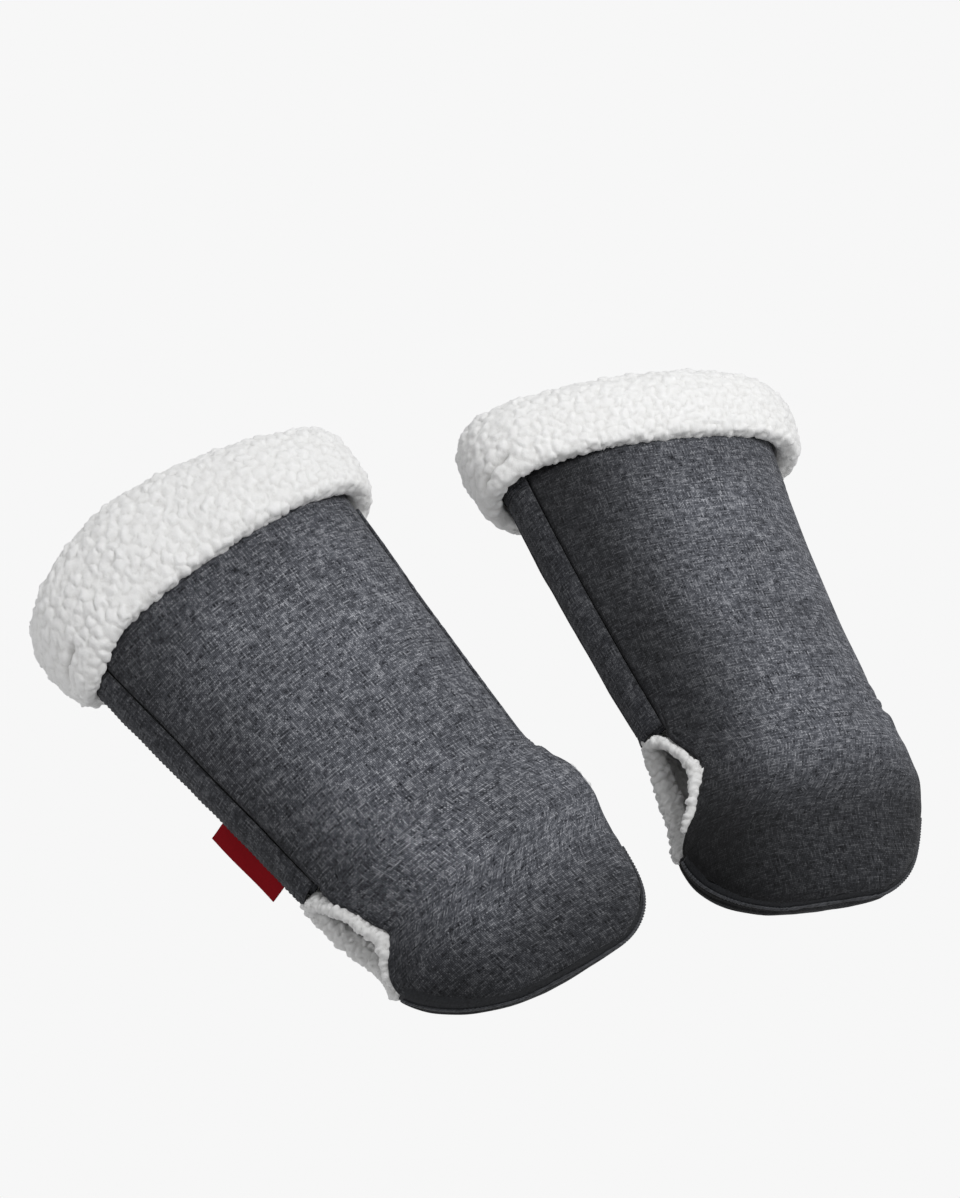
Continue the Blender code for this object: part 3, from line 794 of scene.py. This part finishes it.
for number, (side, sign) in enumerate(sides.items()):
    for face, panel in panels.items():
        edges = panel["edges"](sign)
        field = puffed(edges, panel["puffSeed"] + number)
        points = shellPoints(edges, field, panel["corners"], panel["tuckSeed"] + number,
                             sign if face == "Front" else 1)
        # the cloth's tone is painted shade
        tone = paintedClothShade(points, sign, face == "Back")
        shell = gridPiece(side + face + "Shell", points, outward=fromAxis, tone=tone)
        thicken(shell, layers["shell"][1])
        dressPanel(shell, side, sign, face, "shell", shellCloth)
    print(side, "shells sewn")


waddingSheet = {"spacing": 0.006, "columns": 48, "edgeIn": 2.4}


def trimmedEdges(edges, turn):
    def inner(z):
        start, end = edges(z)
        return start + turn, end - turn
    return inner


def makeWadding(name, edges):
    depth, thickness = layers["wadding"]
    w = waddingSheet
    points = panelPoints(trimmedEdges(edges, w["edgeIn"]), heights(w["spacing"]),
                         np.linspace(0, 1, w["columns"]), depth)
    return thicken(gridPiece(name, points, outward=fromAxis), thickness)


for side, sign in sides.items():
    for face, panel in panels.items():
        soft = makeWadding(side + face + "Wadding", panel["edges"](sign))
        dressPanel(soft, side, sign, face, "wadding", wool)
print("wadding laid in")


liningCut = {
    "spacing": 0.0021, "columns": 118, "edgeIn": 1.2, "thickness": 0.0026,
    "seeds": {"Front": 41, "Back": 57},
    "pile": {"spacing": 0.0056, "smallSpacing": 0.0031, "height": 0.0016, "smallHeight": 0.0006,
             "leastShare": 0.4, "roundShare": 0.80, "melt": 2.6, "lean": 0.14, "warpScale": 240.0,
             "warpShare": 0.45, "looseScale": 210.0, "loose": 0.0014, "fineScale": 1100.0, "fine": 0.00022},
}


def makeLining(name, edges, seed):
    depth, thickness = layers["lining"]
    c, pile = liningCut, liningCut["pile"]
    inside = depth + thickness - pile["height"] - pile["smallHeight"]
    points = panelPoints(trimmedEdges(edges, c["edgeIn"]), heights(c["spacing"]),
                         np.linspace(0, 1, c["columns"]), inside)
    piece = curl(gridPiece(name, points, outward=towardsAxis), {**pile, "seed": seed})
    return thicken(piece, c["thickness"])


for number, (side, sign) in enumerate(sides.items()):
    for face, panel in panels.items():
        lining = makeLining(side + face + "Lining", panel["edges"](sign), liningCut["seeds"][face] + number)
        dressPanel(lining, side, sign, face, "lining", shadedLiningFleece)
print("fleece linings curled")


# the cuff: its section as distance out from the shell and height, where it stands highest on each muff,
# and the crease where its end tucks under by the placket
cuffForm = {
    "bottomZ": 0.2500, "clear": 0.0009, "proud": 0.0132, "belly": 0.0024, "crown": 0.0116, "inside": 0.0100,
    "corner": 0.0060, "hem": 0.001, "columns": 460, "rows": 132, "waver": 0.0022, "waverScale": 27.0,
    "ridgeIn": 0.002, "seenFrom": 0.0004, "seenReach": 0.002, "hemSeenReach": 0.003, "outsideReach": 0.004,
    "hump": {-1: (0.0205, -13.0, 41.0), 1: (0.0030, 0.0, 60.0)},
    "leftEnd": {-1: (-0.0035, -80.0, 30.0), 1: (0.0052, -76.0, 29.0)},
    "droop": {-1: (0.0108, -73.0, 27.0), 1: (0.0030, -72.0, 16.0)},
    "sidePile": 0.0038, "sideDeg": 90.0, "sideReachDeg": 40.0,
    "creaseZ": 0.2620, "creaseFall": 0.0090, "creaseStartDeg": -54.0, "creaseEndDeg": -86.0,
    "creaseDepth": 0.0058, "creaseWide": 0.0020, "creaseFade": 0.25, "creaseBareAndShaded": 0.9,
    "pile": {"spacing": 0.0068, "smallSpacing": 0.0034, "height": 0.0022, "smallHeight": 0.0007,
             "leastShare": 0.35, "roundShare": 0.85, "melt": 2.2, "lean": 0.22, "warpScale": 230.0,
             "warpShare": 0.55, "looseScale": 150.0, "loose": 0.0015, "fineScale": 1050.0, "fine": 0.00028},
}


def fading(beta, middle, reach):
    # 1 at the middle turn, fading to nothing round the muff
    apart = (beta - middle + 180) % 360 - 180
    return np.exp(-(apart / reach) ** 2)


def evenBetas(z, count):
    # turns evenly spaced round the muff at this height
    fine = np.linspace(-180, 180, 1441)
    along = alongPath(skin(fine, z, 0.0))
    return np.interp(np.linspace(0, along[-1], count), along, fine)


def smoothSection(corners, count, passes):
    corners = np.array(corners + corners[:1])
    along = alongPath(corners)
    section = readAlong(np.linspace(0, along[-1], count), along, corners)
    for _ in range(passes):
        ring = section[:-1]
        ring = (np.roll(ring, 1, axis=0) + np.roll(ring, -1, axis=0) + 2 * ring) / 4
        section = np.concatenate([ring, ring[:1]])
    return section


def makeCuff(name, sign, seed):
    f = cuffForm
    topZ = muffForm["topZ"]
    low, high, out, corner = f["bottomZ"], topZ + f["crown"], f["proud"], f["corner"]
    section = smoothSection([
        (f["clear"], low + corner), (f["clear"] + corner / 2, low), (out - corner / 2, low),
        (out, low + corner), (out + f["belly"], (low + high) / 2), (out, high - 2 * corner),
        (out - corner, high - corner / 4), (0.0, high), (corner - f["inside"], high - corner / 4),
        (-f["inside"], high - 2 * corner), (-f["inside"], topZ - f["hem"]), (f["clear"], topZ - f["hem"]),
    ], f["rows"], 4)
    beta = evenBetas(topZ, f["columns"])
    offset = np.broadcast_to(section[:, :1], (f["rows"], f["columns"])).copy()
    z = np.broadcast_to(section[:, 1:], (f["rows"], f["columns"])).copy()
    ring = skin(beta, topZ, 0.0)
    seen = easeShare((offset - f["clear"] - f["seenFrom"]) / f["seenReach"]) \
        + easeShare((z - topZ - f["hem"]) / f["hemSeenReach"]) \
        + easeShare((-offset - f["inside"] + f["ridgeIn"]) / f["seenReach"])
    seen = np.clip(seen, 0, 1)
    waver = np.array([[noise.noise(Vector((*(p[:2] * f["waverScale"]), h * f["waverScale"] + seed)))
                       for p in ring] for h in z[:, 0]])
    offset = offset + seen * waver * f["waver"] * np.sign(offset + f["ridgeIn"])
    outside = easeShare((offset - f["clear"]) / f["outsideReach"])
    offset = offset + outside * f["sidePile"] * fading(beta, f["sideDeg"], f["sideReachDeg"])[None, :]
    full, middle, reach = f["leftEnd"][sign]
    offset = offset + outside * full * fading(beta, middle, reach)[None, :]
    upShare = easeShare((z - low) / (high - low))
    droop, middle, reach = f["droop"][sign]
    z = z - droop * outside * (1 - upShare) * fading(beta, middle, reach)[None, :]
    along = (beta - f["creaseStartDeg"]) / (f["creaseEndDeg"] - f["creaseStartDeg"])
    creaseZ = f["creaseZ"] - f["creaseFall"] * along
    window = easeShare(along / f["creaseFade"]) * easeShare((1 - along) / f["creaseFade"])
    crease = np.exp(-((z - creaseZ[None, :]) / f["creaseWide"]) ** 2) * window[None, :]
    offset = offset - outside * f["creaseDepth"] * crease
    hump, middle, reach = f["hump"][sign]
    lift = easeShare((z - low) / (high - low)) * outside
    lift = lift + np.clip((z - topZ) / f["crown"], 0, 1) * (1 - outside)
    z = z + lift * hump * fading(beta, middle, reach)[None, :]
    points = skin(np.broadcast_to(beta, z.shape), z, -offset)
    # in the crease the pile is held down, and its colour darkened there as painted shade
    piece = gridPiece(name, points, wrap=True, raised=seen * (1 - f["creaseBareAndShaded"] * outside * crease))
    return curl(piece, {**f["pile"], "seed": seed})


for number, (side, sign) in enumerate(sides.items()):
    cuff = makeCuff(side + "Cuff", sign, 11 + 6 * number)
    dress(cuff, side, sign, cuffFleece, "muff", ("cuff_front", "cuff_back"))
print("cuffs turned back")


# the placket: a hemmed strip down the left edge, with its head under the cuff and its tapes inside
placketCut = {
    "top": {-1: 0.2400, 1: 0.2456}, "low": 0.0455, "headTop": 0.2910, "headGap": 0.0006,
    "startDeg": muffForm["grooveDeg"] + 0.7, "endDeg": muffForm["flapEdgeDeg"], "rootIn": 0.0010,
    "rootOut": 0.0062, "thickness": 0.0015, "spacing": 0.0020, "columns": 30,
    "swell": 0.0009, "roll": 0.0009, "rollWidth": 0.003, "waver": 0.0005, "waverScale": 60.0,
    "grooveShade": 0.45, "grooveReach": 0.0020, "hemFoldShade": 0.50, "hemReach": 0.0016,
    "stitchPitch": 0.0034, "hemDeg": 3.4, "hemUp": 0.004, "crossUp": 0.0085, "endUp": 0.003,
    "crossDeg": (3, 2),
}
tapeCut = {"hookDepth": 0.0029, "loopDepth": 0.0045, "thickness": 0.0010, "startDeg": 66.4, "endDeg": 94.0,
           "low": 0.0505, "underTop": 0.0050, "columns": 12, "spacing": 0.004}
underlapCut = {"depth": 0.0059, "thickness": 0.0015, "startDeg": 63.6, "endDeg": 101.4, "low": 0.0455,
               "top": 0.291, "columns": 16, "spacing": 0.004}


def stripPoints(cut, low, top, inset):
    z = np.linspace(top, low, int((top - low) / cut["spacing"]) + 1)

    def edges(rows):
        return np.full_like(rows, -cut["endDeg"]), np.full_like(rows, -cut["startDeg"])

    return panelPoints(edges, z, np.linspace(0, 1, cut["columns"]), inset)


def placketPoints(low, top, seed):
    f = placketCut
    points = stripPoints(f, low, top, 0.0)
    normals = outwardNormals(points)
    left, right, below = fromEdges(points)
    nearest = np.minimum(np.minimum(left, right), below)
    across = left / np.maximum(left + right, 1e-9)
    waver = np.array([[noise.noise(Vector(p) * f["waverScale"] + Vector((seed, 0, seed))) for p in row]
                      for row in points])
    out = f["swell"] * np.sin(pi * across) + f["waver"] * waver
    out = out - f["roll"] * np.clip(1 - nearest / f["rollWidth"], 0, 1) ** 2
    return points + normals * out[:, :, None]


def placketPaintedShade(points):
    # painted shade: darker in the groove and along the hem's fold
    f = placketCut
    fromHem, fromGroove, _ = fromEdges(points)
    dark = f["grooveShade"] * np.exp(-fromGroove / f["grooveReach"])
    return 1 - dark - f["hemFoldShade"] * np.exp(-fromHem / f["hemReach"])


def surfaceOf(piece):
    return bvhtree.BVHTree.FromPolygons([v.co.copy() for v in piece.data.vertices],
                                        [tuple(p.vertices) for p in piece.data.polygons])


stitch = {"length": 0.62, "radius": 0.00036, "raise": 0.00012, "sides": 6, "rings": 5, "leastRun": 1e-5}


def blendToPlacket(piece, side, sign):
    # the flap's root lies along the groove; its middle and the ways down and across it are found but not
    # used, and the piece's place is baked into its mesh
    def settledPoint(turn, z):
        return settled(skin(np.array([-turn]), np.array([z]), 0.0), sign)[0]

    f, groove = placketCut, muffForm["grooveDeg"]
    middle = (f["low"] + f["top"][sign]) / 2
    root = settledPoint(groove, middle)
    down = settledPoint(groove, f["top"][sign]) - settledPoint(groove, f["low"])
    down = down / np.linalg.norm(down)
    across = settledPoint(groove + 5, middle) - root
    across = across - down * np.dot(across, down)
    across = across / np.linalg.norm(across)
    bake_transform(piece)


def sewnRow(name, line, pitch, surface, side, sign):
    # a row of stitches of this pitch along the line, each one lying on the surface
    line = np.array(line)
    along = alongPath(line)
    at = np.arange(pitch / 2, along[-1], pitch)
    bm = bmesh.new()
    for spot, further in zip(readAlong(at, along, line), readAlong(at + pitch / 4, along, line)):
        place, normal, _, _ = surface.find_nearest(Vector(spot))
        tip, _, _, _ = surface.find_nearest(Vector(further))
        run = tip - place
        if run.length < stitch["leastRun"]:
            continue
        turn = run.normalized().to_track_quat("Z", "Y").to_matrix().to_4x4()
        size = Matrix.Diagonal((1.0, 1.0, pitch * stitch["length"] / (2 * stitch["radius"]), 1.0))
        away = normal * (1 if normal.dot(fromAxis(place)) > 0 else -1)
        lie = Matrix.Translation(place + away * stitch["raise"])
        bmesh.ops.create_uvsphere(bm, u_segments=stitch["sides"], v_segments=stitch["rings"],
                                  radius=stitch["radius"], matrix=lie @ turn @ size)
    dress(addPiece(name, bm), side, sign, sewing, blendToPlacket, ())


def backed(name, points, thickness, side, sign, material, moves, node):
    piece = thicken(gridPiece(name, points, outward=fromAxis), thickness)
    return dress(piece, side, sign, material, moves, (node,))


def acrossFlap(z):
    # a line across the flap at this height, from just past the groove to just short of the hem
    start, end = placketCut["crossDeg"]
    turns = np.linspace(muffForm["grooveDeg"] + start, muffForm["flapEdgeDeg"] - end, 20)
    return [skin(-turn, z, 0.0) for turn in turns]


for number, (side, sign) in enumerate(sides.items()):
    f = placketCut
    low, top = f["low"], f["top"][sign]
    points = placketPoints(low, top, 2.5 + number)
    # the flap's tone is painted shade
    flap = gridPiece(side + "PlacketFlap", points, outward=fromAxis, tone=placketPaintedShade(points))
    flapSurface = surfaceOf(flap)
    thicken(flap, f["thickness"])
    dress(flap, side, sign, shadedFlapCloth, blendToPlacket, ("placket_flap",))
    hemHeights = np.linspace(top + f["hemUp"], low + f["hemUp"], 60)
    hemLine = [skin(-muffForm["flapEdgeDeg"] + f["hemDeg"], z, 0.0) for z in hemHeights]
    rows = {"Hem": hemLine, "Cross": acrossFlap(low + f["crossUp"]), "End": acrossFlap(low + f["endUp"])}
    for name, line in rows.items():
        sewnRow(side + "Placket" + name + "Stitches", line, f["stitchPitch"], flapSurface, side, sign)
    head = backed(side + "PlacketHead", placketPoints(top + f["headGap"], f["headTop"], 6.5 + number),
                  f["thickness"], side, sign, shadedFlapCloth, "muff", "placket_head")
    t = tapeCut
    for kind, material, moves in (("hook", hooks, blendToPlacket), ("loop", loops, "muff")):
        points = stripPoints(t, t["low"], top - t["underTop"], t[kind + "Depth"])
        backed(side + "Placket" + kind.capitalize() + "Tape", points, t["thickness"], side, sign, material,
               moves, f"placket_{kind}_tape")
    u = underlapCut
    points = stripPoints(u, u["low"], u["top"], u["depth"])
    underlap = backed(side + "PlacketUnderlap", points, u["thickness"], side, sign, insideCloth, "muff",
                      "placket_underlap")
print("plackets sewn")


# the bare red tab: it leaves from under the placket's edge, by turn and depth, and stands off the side
tabCut = {
    "path": ((86.0, 0.0018), (92.0, 0.0019), (96.0, 0.0018), (98.2, 0.0012), (99.2, 0.0004)),
    "top": 0.124, "length": 0.058, "width": 0.0130, "leanDeg": 38.0, "thickness": 0.0006, "rows": 60,
    "columns": 26, "wave": 0.0007, "waveCount": 115.0, "waveStart": 0.6, "waveSide": 0.6, "freeFrom": 0.45,
    "freeReach": 0.4,
}


def tabPoints():
    f = tabCut
    z = np.linspace(f["top"], f["top"] - f["length"], f["rows"])
    outwards = np.array([-cos(radians(f["leanDeg"])), sin(radians(f["leanDeg"])), 0.0])
    rows = []
    for height in z:
        line = [skin(-turn, height, depth) for turn, depth in f["path"]]
        line += [line[-1] + outwards * f["width"] * share for share in (0.25, 0.5, 0.75, 1.0)]
        along = alongPath(np.array(line))
        rows.append(readAlong(np.linspace(0, along[-1], f["columns"]), along, line))
    points = blurred(np.array(rows), 2)
    free = easeShare((np.linspace(0, 1, f["columns"]) - f["freeFrom"]) / f["freeReach"])
    wave = np.sin((z - f["top"]) * f["waveCount"] + f["waveStart"]) * f["wave"]
    points[:, :, 0] += wave[:, None] * free[None, :] * f["waveSide"]
    points[:, :, 1] += wave[:, None] * free[None, :]
    return points


tab = backed("leftLabelTab", tabPoints(), tabCut["thickness"], "left", -1, tabRibbon, "placket", "label_tab")
print("tab sewn in")


# the lapped toe: binding on the flap's rim, its tapes and the facing inside
toeLap = {
    "lapTopZ": -0.042, "depth": 0.012, "hook": 0.0118, "loop": 0.0134, "under": 0.0150, "seat": 0.0112,
    "tape": 0.0010, "tapeColumns": 9, "facing": 0.0013, "facingColumns": 15, "lapSeat": 0.006,
    "margin": 0.0015, "foldIn": 0.0005, "foldOut": 0.0015, "foldDepth": 0.001, "turns": 120,
    "bindingRadius": 0.0010, "bindingOff": 0.0014, "bindingSides": 12, "bindingTurns": 260,
    "pucker": 0.0003, "puckers": 75, "puckerShare": 0.6, "puckerSwing": 29,
}


def rimPoint(turn, y, inset):
    # turn runs from -1 at the rim's left end, through 0 at the bottom, to +1 at its right end
    form = muffForm
    deep = form["toeHalfDepth"] - inset
    reach = (1 - (abs(y) / deep) ** form["toeDepthPower"]) ** (1 / form["toeDepthPower"])
    z = toeLap["lapTopZ"] + (-form["toeDrop"] * reach - toeLap["lapTopZ"]) * cos(turn * pi / 2)
    wide = float(halfSize(z, "Width")) - inset
    wide *= float(toeCap(z, "Width"))
    level = abs(y) / max(deep * float(toeCap(z, "Depth")), abs(y))
    x = wide * (1 - level ** form["ringPower"]) ** (1 / form["ringPower"])
    return np.array([x * (1 if turn >= 0 else -1), y, z * (form["toeDrop"] - inset) / form["toeDrop"]])


def rimBand(levels, columns, bandSign=None):
    # levels run from the band's front edge to its back edge, each as a distance and a depth,
    # and bandSign says on which muff it narrows as the dark band does
    at = np.linspace(0, 1, columns)
    given = np.linspace(0, 1, len(levels))
    distance = np.interp(at, given, [level[0] for level in levels])
    depth = np.interp(at, given, [level[1] for level in levels])
    rows = []
    for t in np.linspace(-1, 1, toeLap["turns"]):
        front = distance[0] if bandSign is None else -bandWidth(t, bandSign)
        share = (distance - distance[-1]) / (distance[0] - distance[-1])
        across = distance[-1] + (front - distance[-1]) * share
        rows.append([rimPoint(t, y, inset) for y, inset in zip(across, depth)])
    return np.array(rows)


def tubeAround(name, path, radii, sides):
    # a round tube along a path, swept ring by ring; radii gives one radius for each point of the path
    path = np.array(path)
    tangent = np.gradient(path, axis=0)
    tangent /= np.linalg.norm(tangent, axis=-1, keepdims=True)
    side = np.cross(tangent, np.array([0.0, 1.0, 0.0]))
    side /= np.maximum(np.linalg.norm(side, axis=-1, keepdims=True), 1e-9)
    up = np.cross(side, tangent)
    turn = np.linspace(0, 2 * pi, sides + 1)
    points = path[:, None] + np.array(radii)[:, None, None] * (
        np.cos(turn)[None, :, None] * side[:, None] + np.sin(turn)[None, :, None] * up[:, None])
    return gridPiece(name, points, wrap=True, cap=True)


for side, sign in sides.items():
    f, b = toeLap, toeBand
    turns = np.linspace(-1, 1, f["bindingTurns"])
    rim = [rimPoint(t, b["back"], -f["bindingOff"]) for t in turns]
    swing = np.sin(np.linspace(0, f["puckerSwing"], len(turns)))
    waves = np.sin(np.linspace(0, f["puckers"] * 2 * pi, len(turns)))
    radii = f["bindingRadius"] + f["pucker"] * waves * (f["puckerShare"] + (1 - f["puckerShare"]) * swing)
    binding = tubeAround(side + "ToeBinding", rim, radii, f["bindingSides"])
    dress(binding, side, sign, satin, "toe", ("toe_binding",))
    points = rimBand([(b["front"], -b["off"]), (b["back"], -b["off"])], b["columns"], sign)
    band = thicken(gridPiece(side + "ToeBand", points, outward=fromAxis), b["thickness"])
    dress(band, side, sign, webbing, "toe", ())
    front, back = -f["depth"] + f["margin"], -f["margin"]
    for kind, material, moves in (("hook", hooks, "toe"), ("loop", loops, "muff")):
        points = rimBand([(front, f[kind]), (back, f[kind])], f["tapeColumns"])
        backed(side + "Toe" + kind.capitalize() + "Tape", points, f["tape"], side, sign, material, moves,
               f"toe_{kind}_tape")
    under, seat = f["under"], f["seat"]
    points = rimBand([(-f["depth"], under), (-f["depth"] / 2, under), (-f["foldIn"], under),
                      (f["foldOut"], seat + f["foldDepth"]), (f["lapSeat"], seat)], f["facingColumns"])
    facing = backed(side + "ToeFacing", points, f["facing"], side, sign, insideCloth, "muff", "toe_facing")
print("toes lapped")


pipingCut = {"radius": 0.0012, "off": 0.0012, "low": 0.0460, "top": 0.2460, "rows": 120, "sides": 10,
             "lump": 0.00022, "lumpScale": 240.0}
for side, sign in sides.items():
    f = pipingCut
    z = np.linspace(f["low"], f["top"], f["rows"])
    path = [skin(90, height, -f["off"]) for height in z]
    lumps = [noise.noise(Vector((height * f["lumpScale"], sign, 0))) for height in z]
    radii = [f["radius"] + f["lump"] * lump for lump in lumps]
    piping = tubeAround(side + "SidePiping", path, radii, f["sides"])
    dress(piping, side, sign, insideCloth, "muff", ("side_piping",))
print("seams piped")


# fleece lips round the side openings: rolls along the cut edges, thick enough to cover every layer;
# those at the left openings show, and those at the right ones lie tucked in
lipCut = {
    -1: {"half": 0.0042, "depth": 0.0049}, 1: {"half": 0.0028, "depth": 0.0082}, "leastHalf": 0.0008,
    "thickHalf": 0.0058, "rows": 118, "around": 34, "edgeRows": 24, "endIn": 0.001, "endReach": 0.0055,
    "leastShare": 0.10, "soft": 17, "lumpy": 0.20, "lumpScale": 75.0, "lumpRise": 0.0009,
    "pile": {"spacing": 0.0046, "smallSpacing": 0.0026, "height": 0.0022, "smallHeight": 0.0010,
             "leastShare": 0.3, "roundShare": 0.80, "melt": 2.6, "lean": 0.20, "warpScale": 260.0,
             "warpShare": 0.50, "looseScale": 230.0, "loose": 0.0018, "fineScale": 1200.0, "fine": 0.00030},
}
# the roll that shows at each muff's left opening, from under the placket's end down the front's edge:
# turn from the front's middle, height and half width
shownRoll = {
    -1: ((-93.0, 0.0420, 0.0030), (-84.0, 0.0412, 0.0034), (-75.5, 0.0360, 0.0032), (-68.5, 0.0290, 0.0030),
         (-61.5, 0.0175, 0.0027), (-58.5, 0.0070, 0.0026), (-58.5, 0.0000, 0.0034), (-56.0, -0.0075, 0.0054),
         (-57.5, -0.0135, 0.0056), (-63.5, -0.0185, 0.0036), (-72.0, -0.0250, 0.0018),
         (-82.0, -0.0320, 0.0012)),
    1: ((-93.0, 0.0420, 0.0018), (-84.0, 0.0415, 0.0022), (-75.0, 0.0380, 0.0022), (-66.0, 0.0310, 0.0018),
        (-58.5, 0.0215, 0.0023), (-53.5, 0.0110, 0.0033), (-51.5, 0.0040, 0.0042),
        (-54.5, -0.0025, 0.0033), (-58.0, -0.0095, 0.0016), (-61.0, -0.0160, 0.0032),
        (-65.5, -0.0220, 0.0034), (-75.0, -0.0270, 0.0016)),
}


def perDegree(beta, z):
    # how many metres of cloth one degree of turn is here
    return np.linalg.norm(skin(beta + 0.5, z, 0.0) - skin(beta - 0.5, z, 0.0), axis=-1)


def smoothRun(run, count):
    # a run of points read evenly and with its corners eased
    run = np.array(run)
    along = alongPath(skin(run[:, 0], run[:, 1], 0.0))
    at = np.linspace(0, along[-1], count)
    read = readAlong(at, along, run)
    kernel = np.hanning(lipCut["soft"])[1:-1]
    past = len(kernel) // 2
    wide = np.concatenate([2 * read[:1] - read[past:0:-1], read, 2 * read[-1:] - read[-2:-past - 2:-1]])
    soft = [np.convolve(column, kernel / kernel.sum(), mode="valid") for column in wide.T]
    return np.stack(soft, axis=-1), at


def rollPoints(run, depth, seed):
    f = lipCut
    soft, at = smoothRun(run, f["rows"])
    beta, z, half = soft[:, 0], soft[:, 1], np.maximum(soft[:, 2], f["leastHalf"])
    perDeg = perDegree(beta, z)
    runAcross, runUp = np.gradient(beta) * perDeg, np.gradient(z)
    length = np.maximum(np.hypot(runAcross, runUp), 1e-9)
    toEnd = np.minimum(at, at[-1] - at)
    ends = np.sqrt(np.clip(1 - np.clip(1 - toEnd / f["endReach"], 0, 1) ** 2, f["leastShare"] ** 2, 1))
    lump = np.array([noise.noise(Vector((s * f["lumpScale"], seed, 0.0))) for s in at])
    half = half * ends * (1 + f["lumpy"] * lump)
    turn = np.linspace(0, 2 * pi, f["around"] + 1)
    side = half[:, None] * np.cos(turn)[None, :]
    betas = beta[:, None] - (runUp / length / perDeg)[:, None] * side
    heightsAt = z[:, None] + (runAcross / length)[:, None] * side
    rise = depth - f["lumpRise"] * lump * ends
    inset = rise[:, None] - (f["thickHalf"] * ends)[:, None] * np.sin(turn)[None, :]
    return skin(betas, heightsAt, inset)


def edgeRun(sideSign, face, half):
    # along a panel's cut edge, just inside the opening
    opening = openings["right" if sideSign > 0 else "left"]
    top, low = opening["topZ"] - lipCut["endIn"], opening["bottomZ"] + lipCut["endIn"]
    z = np.linspace(top, low, lipCut["edgeRows"])
    edge = openingEdge(z, opening, face.lower() + "Deg")
    perDeg = perDegree(edge, z)
    room = (90 - edge) / 2
    turned = edge + np.minimum(half / perDeg, room)
    if face == "Back":
        turned = 180 - turned
    return np.stack([sideSign * turned, z, np.minimum(half, room * perDeg)], axis=-1)


for number, (side, sign) in enumerate(sides.items()):
    ways = (("outer", sign), ("inner", -sign))
    lips = [(where, sideSign, face) for where, sideSign in ways for face in panels]
    for index, (where, sideSign, face) in enumerate(lips):
        seat = lipCut[sideSign]
        if sideSign < 0 and face == "Front":
            run = shownRoll[sign]
        else:
            run = edgeRun(sideSign, face, seat["half"])
        points = rollPoints(run, seat["depth"], 3.0 * index + number)
        lip = gridPiece(side + where.capitalize() + "Lip" + face, points, wrap=True, cap=True)
        curl(lip, {**lipCut["pile"], "seed": 70 + 10 * number + index})
        node = f"{where}_lip_{face.lower()}"
        dress(lip, side, sign, shadedLipFleece, panels[face]["moves"], (node,))
print("openings lipped with fleece")


# the stand-in studio: pale floor, one large soft key, a weaker fill
studio = {
    "target": (-0.0751, -0.1725, 0.0760), "looking": (0.3295, 0.7881, 0.5200), "distance": 1.3334,
    "yawDeg": 22.69, "rollDeg": 34.08, "lens": 73.62,
    "keyPlace": (0.72, 1.00, -0.62), "keySize": 0.8, "keyPower": 13.5,
    "fillPlace": (-1.1, 0.1, -0.5), "fillSize": 1.4, "fillPower": 3.0,
    "background": (0.930, 0.930, 0.930), "ambient": (0.43, 0.43, 0.435),
    "floorZ": -1.0, "floorSize": 12.0, "floor": (0.86, 0.86, 0.86), "sensor": 36.0,
}


def cameraAxes():
    looking = Vector(studio["looking"]).normalized()
    yaw, roll = radians(studio["yawDeg"]), radians(studio["rollDeg"])
    level = Vector((cos(yaw), -sin(yaw), 0.0))
    upright = level.cross(looking)
    right = level * cos(roll) - upright * sin(roll)
    up = level * sin(roll) + upright * cos(roll)
    return right, up, looking


right, up, looking = cameraAxes()
eye = bpy.data.objects.new("camera", bpy.data.cameras.new("camera"))
eye.data.lens = studio["lens"]
eye.data.sensor_width = studio["sensor"]
turn = Matrix((right, up, -looking)).transposed().to_4x4()
target = Vector(studio["target"])
eye.matrix_world = Matrix.Translation(target - looking * studio["distance"]) @ turn
scene.collection.objects.link(eye)
scene.camera = eye


def softLamp(name, place, size, power):
    # place is measured from the target along the camera's right, its up and towards it
    lamp = bpy.data.lights.new(name, "AREA")
    lamp.shape = "DISK"
    lamp.size = size
    lamp.energy = power
    item = bpy.data.objects.new(name, lamp)
    spot = target + right * place[0] + up * place[1] + looking * place[2]
    aim = (target - spot).to_track_quat("-Z", "Y").to_matrix().to_4x4()
    item.matrix_world = Matrix.Translation(spot) @ aim
    scene.collection.objects.link(item)


softLamp("keyLamp", studio["keyPlace"], studio["keySize"], studio["keyPower"])
softLamp("fillLamp", studio["fillPlace"], studio["fillSize"], studio["fillPower"])

floorSheet, _, floorShader = newMaterial("paleFloor", {"roughness": 0.9})
floorShader.inputs["Base Color"].default_value = (*studio["floor"], 1.0)
bm = bmesh.new()
bmesh.ops.create_grid(bm, x_segments=1, y_segments=1, size=studio["floorSize"] / 2,
                      matrix=Matrix.Translation((0, 0, studio["floorZ"])))
floor = addPiece("floor", bm)
floor.data.materials.append(floorSheet)

world = bpy.data.worlds.new("studioWorld")
world.use_nodes = True
scene.world = world
tree = world.node_tree
tree.nodes.clear()
seen = tree.nodes.new("ShaderNodeLightPath")
pale = addNode(tree, "ShaderNodeBackground", Color=(*studio["background"], 1.0), Strength=1.0)
soft = addNode(tree, "ShaderNodeBackground", Color=(*studio["ambient"], 1.0), Strength=1.0)
either = addNode(tree, "ShaderNodeMixShader", n0=seen.outputs["Is Camera Ray"], n1=soft.outputs[0],
                 n2=pale.outputs[0])
out = tree.nodes.new("ShaderNodeOutputWorld")
tree.links.new(either.outputs[0], out.inputs["Surface"])
scene.view_settings.view_transform = "Standard"
print("studio lit")
